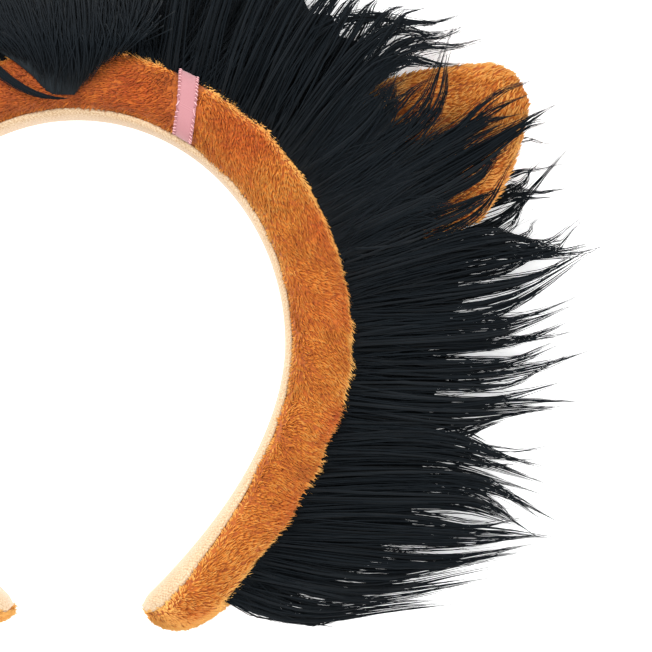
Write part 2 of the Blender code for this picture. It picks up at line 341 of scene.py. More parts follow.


# %% [markdown]
# ## Plush
#
# The orange cloth is a short-pile plush: a knit back with soft fibre that lies over one way. Seen
# close, it is a field of small tufts, dark in the shade between them and pale where light catches
# their tips. Bump alone gives a flat felt, and hair particles are lost on export. So the pile is
# modelled: tens of thousands of small three-sided spikes over a cover with the same colours. That
# light and shade is painted: the cover and the tufts' roots are painted darker, as painted shade,
# and the tips paler, as a painted highlight.

# %% Plush materials
PLUSH_DEEP = linear(130, 60, 14)
PLUSH_DARK = linear(168, 86, 16)
PLUSH_MID = linear(196, 115, 30)
PLUSH_PALE = linear(238, 182, 98)
PLUSH_RED = (0.92, 0.60, 0.40, 1.0)


def plush_cover():
    """The cloth below the pile, a little darker than its tips: painted shade for the gaps between tufts.
    """
    material, shader = start_material("plush_cover", 0.95, Sheen_Weight=0.15, Sheen_Roughness=0.5)
    fine = spot(material, 900, 2).outputs["Fac"]
    # Painted shade: the cover takes the darkest tones, as the shade between the tufts.
    colour = ramp(material, fine, [(0.3, PLUSH_DEEP), (0.62, PLUSH_DARK)])
    return finished(material, shader, colour, bump(material, fine, 0.6, 0.8 * MM))


def plush_pile():
    """The tufts: painted shade at the root and a painted highlight at the tip of each one, and a darker,
    redder orange in patches, as far as the number red says.
    """
    material, shader = start_material("plush_pile", 0.9, Sheen_Weight=0.10, Sheen_Roughness=0.45)
    shader.inputs["Sheen Tint"].default_value = linear(255, 180, 96)
    stops = [(0.0, PLUSH_DEEP), (0.3, PLUSH_DARK), (0.6, PLUSH_MID), (1.0, PLUSH_PALE)]
    colour = ramp(material, number(material, "shade"), stops)
    return finished(material, shader, multiplied(material, colour, PLUSH_RED, number(material, "red")))


PLUSH_COVER = plush_cover()
PLUSH_PILE = plush_pile()

# %% Tufts on a surface
PILE_LENGTH = 2.6 * MM
PILE_WIDTH = 0.86 * MM
PILE_LEANS = (60, 80)
PILE_SINK = 0.3 * MM


def scatter(grid, weight, count, seed):
    """Points spread over a tube's grid by area times weight, with normal, along and around directions.

    A cell is drawn by its area, and the point in it lies between its four corners. along runs with
    the rows and around with the columns. Last come each point's shares of the rows and columns.
    """
    rng = np.random.default_rng(seed)
    a = grid[:-1]
    b = np.roll(a, -1, axis=1)
    d = grid[1:]
    c = np.roll(d, -1, axis=1)
    area = np.linalg.norm(np.cross(c - a, d - b), axis=-1) / 2
    chance = (area * weight).reshape(-1)
    cell = rng.choice(chance.size, count, p=chance / chance.sum())
    i, j = np.divmod(cell, grid.shape[1])
    u, v = rng.random((2, count, 1))
    spots = (1 - u) * ((1 - v) * a[i, j] + v * b[i, j]) + u * ((1 - v) * d[i, j] + v * c[i, j])
    along = (d + c - a - b)[i, j]
    around = (b + c - a - d)[i, j]
    normal = np.cross(around, along)
    shares = np.stack([(i + u[:, 0]) / (len(grid) - 1), (j + v[:, 0]) / grid.shape[1]], axis=1)
    return spots, normed(normal), normed(along), normed(around), shares


def strands(name, paths, widths, material, slot, lift=None, sides=3, squash=1.0, **numbers):
    """Closed tapered tubes along paths (n, k, 3): a ring at each point but the last, which is the tip.

    A ring lies across the path: its points are cosine times a sideways direction plus sine times a
    direction square to both, times half the width. lift is roughly up, for each strand or for all, and
    squash below 1 makes the tubes flat.
    """
    count, points = paths.shape[:2]
    ahead = normed(np.gradient(paths, axis=1)[:, :-1])
    up = np.array([0, 0, 1.0]) if lift is None else lift[:, None]
    side = normed(np.cross(ahead, up))
    high = np.cross(side, ahead)
    turn = -np.radians(90 + np.arange(sides) * 360 / sides)[:, None]
    ring = np.cos(turn) * side[:, :, None] + squash * np.sin(turn) * high[:, :, None]
    rings = paths[:, :-1, None] + ring * (widths[:, :-1, None, None] / 2)
    rings = rings.reshape(count, -1, 3)
    spots = np.concatenate([rings, paths[:, -1:]], axis=1).reshape(-1, 3)
    step = (points - 1) * sides + 1
    base = (np.arange(count) * step)[:, None, None]
    here = np.arange(sides)
    there = (here + 1) % sides
    row = (np.arange(points - 2) * sides)[:, None]
    quads = np.stack([row + here, row + there, row + sides + there, row + sides + here], axis=-1)
    last = (points - 2) * sides
    point = np.stack([last + here, last + there, np.full(sides, step - 1)], axis=-1)
    faces = [(base + quads.reshape(-1, 4)).reshape(-1, 4), (base + point).reshape(-1, 3)]
    faces.append((base + here[::-1]).reshape(-1, sides))
    spread = {
        key: np.concatenate([np.repeat(v[:, :-1], sides, axis=1), v[:, -1:]], axis=1).reshape(-1)
        for key, v in numbers.items()
    }
    mesh_piece(name, spots, faces, material, slot, **spread)


def pile(name, roots, normal, nap, rng, shade, red, length):
    """Tufts from a root, sunk a little into the cloth, to a tip: four triangles each.

    A tuft leans from the normal toward the nap by an angle drawn from PILE_LEANS. Its shade
    runs from darker at the root to paler at the tip, as painted shade and a painted highlight, and
    red says how much of the other orange it has.
    """
    count = len(roots)
    nap = normed(nap - normal * np.sum(nap * normal, axis=1, keepdims=True))
    angle = np.radians(rng.uniform(*PILE_LEANS, count))[:, None]
    size = (length * rng.uniform(0.65, 1.15, count))[:, None]
    tip = roots + (normal * np.cos(angle) + nap * np.sin(angle)) * size
    paths = np.stack([roots - normal * PILE_SINK, tip], axis=1)
    paths[..., 2] = np.maximum(paths[..., 2], 0.25 * MM)
    widths = PILE_WIDTH * rng.uniform(0.7, 1.3, count)[:, None] * np.array([1.0, 0])
    # Painted shade at each tuft's root and a painted highlight at its tip.
    painted_root_tip_shades = np.clip(shade[:, None] + np.array([-0.30, 0.16]), 0, 1)
    reds = np.clip(red[:, None] + np.zeros(2), 0, 1)
    strands(name, paths, widths, PLUSH_PILE, "plush_orange", normal, shade=painted_root_tip_shades, red=reds)


# %% [markdown]
# ## The padded band
#
# A tube of plush, filled with fibre and sewn shut along the lining and along the mane. It swells
# between its seams. Here the tube is a grid over the arch, Blender's Cloth blows it up from inside
# while the points on its seams stay pinned, and the swollen grid is read back and made finer.

# %% Cloth that swells between its seams
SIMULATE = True
MOST_SWELL = 1.2 * MM
SWELL_FRAMES = 16
CLOTH = {
    "quality": 6,
    "mass": 0.15,
    "tension_stiffness": 25,
    "compression_stiffness": 25,
    "bending_stiffness": 0.4,
    "use_pressure": True,
}


def swell(grid, pinned, pressure):
    """The grid after it is blown up as cloth. No point moves further than MOST_SWELL.

    The grid becomes a mesh whose pinned points hold still. Pressure pushes its faces outward for
    SWELL_FRAMES frames, with no gravity, and the moved points are read back.
    """
    if not SIMULATE:
        return grid
    mesh = bpy.data.meshes.new("swell")
    faces = tube_faces(*grid.shape[:2])
    mesh.from_pydata(with_ends(grid).tolist(), [], [f for part in faces for f in part.tolist()])
    trial = in_scene("swell", mesh)
    group = trial.vertex_groups.new(name="seam")
    group.add(np.flatnonzero(pinned.reshape(-1)).tolist(), 1.0, "REPLACE")
    cloth = trial.modifiers.new("cloth", "CLOTH")
    for key, value in dict(CLOTH, uniform_pressure_force=pressure, vertex_group_mass="seam").items():
        setattr(cloth.settings, key, value)
    cloth.settings.effector_weights.gravity = 0
    cloth.point_cache.frame_end = SWELL_FRAMES
    for at in range(1, SWELL_FRAMES + 1):
        bpy.context.scene.frame_set(at)
    graph = bpy.context.evaluated_depsgraph_get()
    moved = np.empty(len(mesh.vertices) * 3)
    trial.evaluated_get(graph).data.vertices.foreach_get("co", moved)
    bpy.data.objects.remove(trial)
    bpy.context.scene.frame_set(1)
    step = moved.reshape(-1, 3)[: grid.shape[0] * grid.shape[1]].reshape(grid.shape) - grid
    size = np.linalg.norm(step, axis=-1, keepdims=True)
    print("cloth moved up to", round(float(size.max()) / MM, 2), "mm")
    return grid + step * np.minimum(1, MOST_SWELL / np.maximum(size, 1e-9))


def finer(grid, rows, columns):
    """The grid with more points, read between its own along both ways. Columns run round a tube."""
    closed = np.concatenate([grid, grid[:, :1]], axis=1)
    at = np.linspace(0, len(grid) - 1, rows)
    low = np.minimum(at.astype(int), len(grid) - 2)
    closed = closed[low] + (closed[low + 1] - closed[low]) * (at - low)[:, None, None]
    at = np.arange(columns) * grid.shape[1] / columns
    low = at.astype(int)
    return closed[:, low] + (closed[:, low + 1] - closed[:, low]) * (at - low)[None, :, None]


CAP_SHRINKS = (0.92, 0.78, 0.58, 0.34, 0.06)


def capped(grid, bulge):
    """The grid with rows that close both its ends: rings that shrink to the middle and bulge out."""
    shrink = np.array(CAP_SHRINKS)[:, None, None]
    ends = []
    for ring, inside in ((grid[0], grid[2]), (grid[-1], grid[-3])):
        middle = ring.mean(axis=0)
        out = middle - inside.mean(axis=0)
        out *= bulge / np.linalg.norm(out)
        ends.append(middle + (ring - middle) * shrink + out * (1 - shrink**2))
    return np.concatenate([ends[0][::-1], grid, ends[1]])


# %% The band's seams and rows
SEAM_PLACES = (0, 0.50, 0.72, 0.87, 1)
SEAM_ANGLES = (139, 153, 141, 125, 102)
LINING_BACK_SEAM = 225
SEWN_ANGLES = (0, 150, 160, 220, 230, 240, 260, 270, 280)
BAND_ROWS = 121
TOE_ROWS = 10
BAND_COLUMNS = 36

toe = TOE_LENGTH / HALF_LENGTH
half = np.concatenate([
    np.linspace(0, 1 - toe, BAND_ROWS // 2 - TOE_ROWS + 1),
    1 - toe * np.linspace(0.9, 0, TOE_ROWS) ** 1.6,
])
BAND_PLACES = np.concatenate([-half[:0:-1], half])
BAND_ANGLES = np.arange(BAND_COLUMNS) * 360 / BAND_COLUMNS


def spaced_places(count):
    """Places from tip to tip, read between the band's own, which lie closer in the toes."""
    return np.interp(np.linspace(0, 1, count), np.linspace(0, 1, len(BAND_PLACES)), BAND_PLACES)


def seam_angle(places):
    """Where on the section the plush's front ends and the lining starts."""
    return np.interp(np.abs(places), SEAM_PLACES, SEAM_ANGLES)


def lining_share(places, angles):
    """1 under the lining and 0 in the open, with slopes of 8 degrees. Rows are places, columns angles."""
    front = np.clip((angles - seam_angle(places)[:, None] + 6) / 8, 0, 1)
    return front * np.clip((LINING_BACK_SEAM + 15 - angles) / 8, 0, 1)


# %% The cover of the band
plain_grid = band_points(BAND_PLACES[:, None], BAND_ANGLES[None])
sewn = np.isin(BAND_ANGLES, SEWN_ANGLES)[None] | np.zeros((len(BAND_PLACES), 1), bool)
sewn[[0, 1, -2, -1]] = True
swollen = swell(plain_grid, sewn, 40)
band_grid = swollen + (plain_grid - swollen) * lining_share(BAND_PLACES, BAND_ANGLES)[..., None]
band_grid = capped(finer(band_grid, 2 * len(BAND_PLACES), 3 * BAND_COLUMNS), 0.8 * MM)

caps = len(CAP_SHRINKS)
row_places = spaced_places(len(band_grid) - 2 * caps)
row_places = np.concatenate([np.full(caps, -1.0), row_places, np.full(caps, 1.0)])
round_the_tube = np.roll(band_grid, -1, axis=1) - np.roll(band_grid, 1, axis=1)
band_normals = normed(np.cross(round_the_tube, np.gradient(band_grid, axis=0)))
fine_angles = np.arange(band_grid.shape[1])[None] * 360 / band_grid.shape[1]
free = 1 - lining_share(row_places, fine_angles)
band_grid = band_grid + band_normals * (0.5 * MM * free * waves(band_grid, 14 * MM, 3))[..., None]
band_grid[..., 2] = np.maximum(band_grid[..., 2], 0.2 * MM)
band_cover = tube_piece("band_cover", band_grid, PLUSH_COVER, "plush_orange")
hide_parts("padded_band")

# %% The pile of the band
MOST_SHADE = 0.66


def blotches(points):
    """How light the plush is: broad soft patches, some smaller ones and a little from tuft to tuft."""
    return (
        0.52
        + 0.07 * waves(points, 34 * MM, 11)
        + 0.09 * waves(points, 9 * MM, 12)
        + 0.08 * waves(points, 2.6 * MM, 13)
    )


RIBBON_PLACE = 0.150
RIBBON_WIDTH = 6.5 * MM
RIBBON_SLANT = 7.8 * MM
TONE_PLACES = (0, 0.14, 0.18, 0.3, 0.55, 0.8, 1)
TONES = (-0.24, -0.22, 0.10, 0.06, 0.03, 0.10, 0.18)
REDS = (0.50, 0.50, 0.15, 0.10, 0, 0, 0)
NAP_PLACES = (-1, -0.62, -0.42, -0.14, 0.13, 0.17, 0.42, 0.62, 0.80, 1)
NAP_TURNS = (0, 10, 100, 180, 180, 255, 272, 345, 355, 365)


def ribbon_side(place, degrees):
    """How far a spot lies from the ribbon's middle, along the arch."""
    across = squared(np.cos(np.radians(degrees)))
    return (place - RIBBON_PLACE) * HALF_LENGTH + RIBBON_SLANT / 2 * across


def nap_direction(points, place, rng):
    """Which way the pile lies: a turn in the plane of the floor, read from a table and made wavy."""
    turn = np.radians(np.interp(place, NAP_PLACES, NAP_TURNS))
    turn = turn + 0.45 * waves(points, 45 * MM, 21) + 0.25 * waves(points, 12 * MM, 22)
    turn = turn + rng.normal(0, 0.16, len(place))
    return np.stack([np.cos(turn), np.sin(turn), np.zeros(len(turn))], axis=1)


def band_pile(name, count, front, seed):
    """Pile over the front or the back of the band, outside the lining and clear of the ribbon.

    Along the outer side it stands away from the band, over the mane's roots, and along the lining it
    lies toward it. Both edges and the toes are painted paler: a painted highlight for the light that
    their fibres catch.
    """
    columns = band_grid.shape[1]
    places = (row_places[1:] + row_places[:-1]) / 2
    angle = ((np.arange(columns) + 0.5) * 360 / columns)[None]
    seam = seam_angle(places)[:, None]
    clear = (angle < 28) | (np.abs(ribbon_side(places[:, None], angle)) > RIBBON_WIDTH / 2 + 0.5 * MM)
    weight = clear & (angle < seam + 2) if front else angle > LINING_BACK_SEAM + 3
    weight = weight * np.where(toe_share(places)[:, None] > 0.3, 1.5 if front else 5, 1)
    roots, normal, along, around, shares = scatter(band_grid, weight, count, seed)
    rng = np.random.default_rng(seed)
    place = np.interp(shares[:, 0], np.linspace(0, 1, len(row_places)), row_places)
    angle = shares[:, 1] * 360
    seam = seam_angle(place)
    off = np.minimum(angle, 360 - angle)
    fade = 1 - np.clip((toe_share(place) - 0.2) * 2, 0, 1)
    outer = (np.clip((48 - off) / 30, 0, 1) * fade)[:, None]
    inner = np.clip((angle - seam + 18) / 14, 0, 1)[:, None] * front
    away = np.stack([normal[:, 0], normal[:, 1], 0.5 + 0 * place], axis=1)
    nap = nap_direction(roots, place, rng) * (1 - outer) + away * outer
    nap = nap * (1 - inner) + around * inner
    # Painted highlight: the outer rim, the edge along the lining and the toes are painted paler, for the
    # light that their fibres catch.
    rim = np.clip((60 - off) / 22, 0, 1) * fade
    edge = rim + 0.9 * inner[:, 0] + 0.9 * np.clip((toe_share(place) - 0.35) * 2, 0, 1)
    slow = np.interp(np.abs(place), TONE_PLACES, TONES)
    shade = blotches(roots) + slow + rng.normal(0, 0.10, count)
    shade = np.where(shade > MOST_SHADE, MOST_SHADE + 0.35 * (shade - MOST_SHADE), shade)
    shade = shade + 0.42 * edge + 0.35 * rim
    front_third = np.exp(-(((angle - 68) / 24) ** 2))
    red = (0.25 + 0.75 * waves(roots, 26 * MM, 23)) * (0.25 + front_third)
    red = (red + np.interp(np.abs(place), TONE_PLACES, REDS)) * (1 - 0.8 * np.clip(edge, 0, 1))
    length = PILE_LENGTH * (1 - 0.45 * outer[:, 0]) * (1 - 0.35 * inner[:, 0])
    pile(name, roots, normal, nap, rng, shade, red, length)


band_pile("band_pile_front", 42000, True, 31)
band_pile("band_pile_back", 7500, False, 32)

# %% [markdown]
# ## The lining
#
# Toward the head the band is faced with a strip of cream knit. It is thin cloth over the padding, so
# it is a surface over the same formula as the band, moved out a little, with Solidify for its wall.
# Its texture is a fine mesh of knit loops: the product of two sine waves along and across the strip,
# mixed with noise, because even loops would look printed.

# %% The lining's finish
LOOP = 1.0 * MM


def lining_material():
    """Loops from two crossed sine waves, one of them skewed, and noise. Both drive colour and bump."""
    material, shader = start_material("lining_knit", 0.85, Sheen_Weight=0.2)
    uv = node(material, "ShaderNodeTexCoord").outputs["UV"]
    parts = node(material, "ShaderNodeSeparateXYZ", Vector=uv)
    along, across = parts.outputs["X"], parts.outputs["Y"]
    turns = 2 * math.pi * MM / LOOP
    skew = maths(material, "ADD", along, maths(material, "MULTIPLY", across, 0.5))
    rows = maths(material, "SINE", maths(material, "MULTIPLY", skew, turns))
    columns = maths(material, "SINE", maths(material, "MULTIPLY", across, turns))
    loops = maths(material, "MULTIPLY_ADD", maths(material, "MULTIPLY", rows, columns), 0.5, 0.5)
    noise = node(material, "ShaderNodeTexNoise", Vector=uv, Scale=1.7, Detail=2.0).outputs["Fac"]
    noise = maths(material, "MULTIPLY_ADD", noise, 1.4, -0.2)
    knit = node(material, "ShaderNodeMix", Factor=0.78, _2=loops, _3=noise).outputs[0]
    colour = ramp(material, knit, [(0.25, linear(166, 128, 92)), (0.7, linear(210, 190, 158))])
    mottle = spot(material, 130).outputs["Fac"]
    tint = ramp(material, mottle, [(0.3, linear(248, 243, 236)), (0.7, linear(254, 254, 254))])
    normal = bump(material, knit, 0.5, 0.25 * MM)
    return finished(material, shader, multiplied(material, colour, tint), normal)


LINING_KNIT = lining_material()

# %% The lining's cloth
GATHER_HEIGHT = 0.25 * MM
GATHER_LENGTH = 3.1 * MM


def lining_piece():
    """A grid from the front seam to the back seam, with a UV map in millimetres along and across.

    Its three front columns rise and fall in small gathers, as cloth does along a seam.
    """
    places = spaced_places(361)
    seam = seam_angle(places)[:, None] - 2
    share = np.linspace(0, 1, 25)[None]
    angles = seam + (LINING_BACK_SEAM - seam) * share
    rise = np.clip(share / 0.12, 0, 1) ** 0.5
    grid = band_points(places[:, None], angles, SEAM_GAP + LINING_THICKNESS * rise)
    gather = GATHER_HEIGHT * np.sin(places * HALF_LENGTH / GATHER_LENGTH * 2 * math.pi)
    grid[:, :3, 2] += gather[:, None]
    steps = np.linalg.norm(np.diff(grid, axis=1), axis=2)
    across = np.cumsum(np.pad(steps, ((0, 0), (1, 0))), axis=1)
    along = np.broadcast_to(places[:, None] * HALF_LENGTH, across.shape)
    uv = np.stack([along, across], axis=-1).reshape(-1, 2) / MM
    rows, columns = grid.shape[:2]
    first = (np.arange(rows - 1)[:, None] * columns + np.arange(columns - 1)[None]).reshape(-1)
    quads = np.stack([first, first + 1, first + columns + 1, first + columns], axis=1)
    piece = mesh_piece("lining_cloth", grid.reshape(-1, 3), [quads], LINING_KNIT, "lining_cream", uv=uv)
    wall = piece.modifiers.new("wall", "SOLIDIFY")
    wall.thickness = LINING_THICKNESS
    wall.offset = -1
    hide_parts("inner_lining")
    middle = np.linalg.norm(np.diff(grid[:, columns // 2], axis=0), axis=1).sum()
    widths = across[[rows // 2, 0], -1]
    print("laid flat it is", *np.round(np.array([middle, *widths, across.max()]) / MM, 1),
          "mm: its length, its width at the crown, at a tip and at most")


lining_piece()

# %% [markdown]
# ## The ribbon
#
# A pink ribbon crosses the front of the band and is sewn down along both edges with a dense row of
# stitches. The ribbon is a thin strip over the band's formula. Each stitch is a real thread: a short
# tube that humps from the plush onto the ribbon, because bump can't give its broken outline.

# %% The ribbon's finish


def ribbon_material():
    """Satin with fine ribs across its length."""
    material, shader = start_material("ribbon_satin", 0.5, Sheen_Weight=0.25)
    uv = node(material, "ShaderNodeTexCoord").outputs["UV"]
    along = {"bands_direction": "Y"}
    ribs = node(material, "ShaderNodeTexWave", along, Vector=uv, Scale=1.1, Distortion=0.4).outputs["Fac"]
    colour = ramp(material, ribs, [(0.0, linear(156, 101, 106)), (1.0, linear(168, 114, 118))])
    return finished(material, shader, colour, bump(material, ribs, 0.25, 0.1 * MM))


def thread_material():
    """Shiny thread, in a darker and a paler pink by turns."""
    material, shader = start_material("ribbon_thread", 0.4, Sheen_Weight=0.2)
    stops = [(0.0, linear(112, 46, 54)), (0.5, linear(186, 118, 123)), (1.0, linear(220, 168, 171))]
    return finished(material, shader, ramp(material, number(material, "shade"), stops))


RIBBON_SATIN = ribbon_material()
RIBBON_THREAD = thread_material()

# %% The ribbon
RIBBON_THICKNESS = 0.8 * MM
RIBBON_OUTER_ANGLE = 38
RIBBON_INNER_ANGLE = 134
RIB_SCALE = (3.2, 36)


def on_ribbon(share, side, puff):
    """XYZ on the ribbon: share runs down it from 0 to 1, and side runs across it from -1 to 1."""
    degrees = RIBBON_OUTER_ANGLE + (RIBBON_INNER_ANGLE - RIBBON_OUTER_ANGLE) * share
    place = RIBBON_PLACE - RIBBON_SLANT / 2 / HALF_LENGTH * squared(np.cos(np.radians(degrees)))
    centre = band_points(place, degrees, puff)
    run = normed(arch(place + 1e-3, 0.0) - arch(place - 1e-3, 0.0))
    step = run * (RIBBON_WIDTH / 2 * side)[..., None]
    return centre + np.concatenate([step, np.zeros(step.shape[:-1] + (1,))], axis=-1)


def ribbon_piece():
    """A loop of points at each place down it: its crowned top, then its underside on the way back."""
    share, side = np.meshgrid(np.linspace(0, 1, 61), np.linspace(-1, 1, 11), indexing="ij")
    top = on_ribbon(share, side, SEAM_GAP + RIBBON_THICKNESS + 0.15 * MM * (1 - side**2))
    under = on_ribbon(share, side, SEAM_GAP + 0 * side)
    loop = np.concatenate([top, under[:, ::-1]], axis=1)
    uv = np.tile(np.stack([side, share], axis=-1) * RIB_SCALE, (1, 2, 1))
    ribbon_band = tube_piece("ribbon_band", loop, RIBBON_SATIN, "pink_ribbon", uv)
    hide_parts("pink_strip")
    length = np.linalg.norm(np.diff(top[:, 5], axis=0), axis=1).sum()
    print("laid flat it is", round(float(length) / MM, 1), "mm long and", RIBBON_WIDTH / MM, "mm wide")


ribbon_piece()

# %% The stitches
STITCHES = 34
THREAD_WIDTH = 0.34 * MM


def ribbon_stitches(name, edge, seed):
    """Threads side by side over one edge, each a hump: its height is a half sine of its own length."""
    rng = np.random.default_rng(seed)
    count = STITCHES
    start = (np.arange(count) + 0.5 + rng.normal(0, 0.12, count)) / count
    t = np.linspace(0, 1, 7)[None]
    turn = np.where(np.arange(count) % 2 == 0, 1, -1)[:, None]
    reach = edge * (0.74 + 0.34 * t) + rng.normal(0, 0.015, (count, 1))
    share = np.clip(start[:, None] + 0.9 / count * turn * (t - 0.5), 0, 1)
    hump = SEAM_GAP + RIBBON_THICKNESS + THREAD_WIDTH * np.sin(math.pi * t) ** 0.7 - 0.05 * MM + 0 * share
    paths = on_ribbon(share, reach + 0 * share, hump)
    widths = THREAD_WIDTH * rng.uniform(0.9, 1.1, (count, 1)) * np.ones_like(t)
    # Threads are darker and paler pink by turns, and the top of each hump is painted a little paler: a
    # painted highlight.
    shade = 0.55 + 0.45 * turn * rng.uniform(0.5, 1, (count, 1)) + 0.15 * np.sin(math.pi * t) - 0.1
    strands(name, paths, widths, RIBBON_THREAD, "pink_ribbon", sides=5, shade=shade)


ribbon_stitches("ribbon_stitches_left", -1, 41)
ribbon_stitches("ribbon_stitches_right", 1, 42)

# %% [markdown]
# ## The ears
#
# Each ear is a plush leaf with a little filling and a shallow dish in its front. It is a closed tube
# of rings whose width, thickness and dish come from a short table, swollen as cloth with its rim
# pinned, and covered with the same pile as the band, brushed toward its tip.

# %% The ears
EAR_PLACE = 0.375
EAR_TURN = 11.5
EAR_LENGTH = 70.5 * MM
EAR_HALF_WIDTH = 25 * MM
EAR_HALF_THICKNESS = 6.5 * MM
EAR_ALONG = (0, 0.18, 0.36, 0.52, 0.66, 0.77, 0.86, 0.93, 0.98, 1)
EAR_WIDTHS = (0.76, 0.84, 0.95, 1.06, 0.93, 0.76, 0.59, 0.44, 0.31, 0.16)
EAR_LEANS = (0, 0, 0, 0, 0, 0, 0.03, 0.06, 0.07, 0.08)
EAR_THICKNESSES = (0.85, 1, 1, 1, 0.94, 0.86, 0.76, 0.62, 0.42, 0.20)
EAR_DISHES = (0, 0.4, 0.8, 1, 0.9, 0.7, 0.4, 0.2, 0, 0)
EAR_DISH_DEPTH = 2.5 * MM
EAR_ROWS = 33
EAR_COLUMNS = 28
EAR_TUFTS = 10500


def unit(degrees):
    """XY one long at an angle."""
    turn = np.radians(degrees)
    return np.stack([np.cos(turn), np.sin(turn)], axis=-1)


away = arch(EAR_PLACE, 1.0) - arch(EAR_PLACE, 0.0)
EAR_OUTWARD = math.degrees(math.atan2(away[1], away[0]))
EAR_ROOT = arch(EAR_PLACE, band_thickness(EAR_PLACE) + SEAM_GAP)
EAR_AIM = unit(EAR_OUTWARD + EAR_TURN)
EAR_ACROSS = unit(EAR_OUTWARD + EAR_TURN + 90)


def ear_grid():
    """Rings square to the ear: cosine times its width, and sine times its thickness less the dish.

    Near the tip their middles lean to one side, and the tip stands 1 mm proud of the plain solid.
    """
    at = 1 - np.linspace(1, 0, EAR_ROWS) ** 1.35
    tables = (EAR_WIDTHS, EAR_LEANS, EAR_THICKNESSES, EAR_DISHES)
    width, leaning, thickness, dish = (np.interp(at, EAR_ALONG, values) for values in tables)
    lean = unit(EAR_OUTWARD + 90)
    blend = np.clip(at / 0.1, 0, 1)[:, None]
    wide = (lean * (1 - blend) + EAR_ACROSS * blend) * (EAR_HALF_WIDTH * width)[:, None]
    turn = np.arange(EAR_COLUMNS) * 2 * math.pi / EAR_COLUMNS
    ahead = (at + 0.014 * at**2)[:, None]
    middle = EAR_ROOT + EAR_AIM * EAR_LENGTH * ahead + EAR_ACROSS * EAR_HALF_WIDTH * leaning[:, None]
    flat = middle[:, None] + np.cos(turn)[None, :, None] * wide[:, None]
    rise = EAR_HALF_THICKNESS * thickness[:, None] * np.sin(turn)
    rise = rise - EAR_DISH_DEPTH * dish[:, None] * np.maximum(np.sin(turn), 0) ** 2
    return np.concatenate([flat, (LEVEL + rise)[..., None]], axis=-1)


ear_row = np.arange(EAR_ROWS)[:, None]
ear_rim = np.isin(np.arange(EAR_COLUMNS), (0, EAR_COLUMNS // 2))[None]
ear_rim = ear_rim | (ear_row < 2) | (ear_row > EAR_ROWS - 3)
ear_swollen = finer(swell(ear_grid(), ear_rim, 6.0), 2 * EAR_ROWS, 2 * EAR_COLUMNS)


def ear_pieces(side_name, side, seed):
    """The cover and its pile. The left ear is the right one with its columns turned round."""
    grid = ear_swollen * (side, 1, 1)
    if side < 0:
        grid = grid[:, ::-1]
    cover = tube_piece("ear_cover_" + side_name, grid, PLUSH_COVER, "plush_orange")
    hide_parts("ear_" + side_name)
    rng = np.random.default_rng(seed)
    front = np.where((np.arange(grid.shape[1]) < grid.shape[1] / 2) == (side > 0), 1.0, 0.45)[None]
    roots, normal, along, around, shares = scatter(grid, front + 0 * grid[:-1, :, 0], EAR_TUFTS, seed)
    nap = along + around * (0.35 * waves(roots, 30 * MM, seed) + rng.normal(0, 0.22, len(roots)))[:, None]
    # Painted highlight: the ear's rim, where its surface turns over, is painted paler.
    ear_rim_highlight = np.abs(np.cos(2 * math.pi * shares[:, 1])) ** 10
    shade = np.minimum(blotches(roots) + rng.normal(0, 0.10, len(roots)) + 0.21, 0.80) + 0.22 * ear_rim_highlight
    red = 0.15 * waves(roots, 25 * MM, 24)
    pile("ear_pile_" + side_name, roots, normal, nap, rng, shade, red, PILE_LENGTH)


ear_pieces("right", 1, 51)
ear_pieces("left", -1, 52)

# %% [markdown]
# ## The mane
#
# Long black fibre stands out from the whole outer edge. It lies in locks, a lock splits into wisps,
# and a wisp's fibres start apart and meet near its tip. Curves with a bevel could do for a few hairs,
# but this needs thousands, so all of them are worked out together: arrays of paths, with one axis for
# the fibres and one for the points along them.

# %% The fur's finish
FUR_SHADED_ROOT = (0.0030, 0.0054, 0.0078, 1.0)
FUR_TIP = (0.0040, 0.0070, 0.0100, 1.0)
FUR_DEEP_ROOT = (0.014, 0.018, 0.021, 1.0)
FUR_DEEP_TIP = (0.019, 0.024, 0.028, 1.0)


def fur_material():
    """Matt black fibre with a little sheen, a shade paler toward its tip: its darker root is painted
    shade.
    """
    sheen = {"Sheen_Weight": 0.03, "Sheen_Roughness": 0.7}
    material, shader = start_material("fur_fibre", 0.8, Specular_IOR_Level=0.02, **sheen)
    stops = [(0.0, FUR_SHADED_ROOT), (1.0, FUR_TIP)]
    return finished(material, shader, ramp(material, number(material, "shade"), stops))


def fur_base_material():
    """The dense mass below the fibres: streaks that run along the surface's own UV.

    It is paler than the fibres, because they shade it.
    """
    material, shader = start_material("fur_base", 0.7, Specular_IOR_Level=0.05)
    uv = node(material, "ShaderNodeTexCoord").outputs["UV"]
    streaks = node(material, "ShaderNodeTexNoise", Vector=uv, Scale=1.0, Detail=4.0).outputs["Fac"]
    colour = ramp(material, streaks, [(0.35, FUR_DEEP_ROOT), (0.7, FUR_DEEP_TIP)])
    return finished(material, shader, colour, bump(material, streaks, 0.8, 1.0 * MM))


FUR_FIBRE = fur_material()
FUR_BASE = fur_base_material()

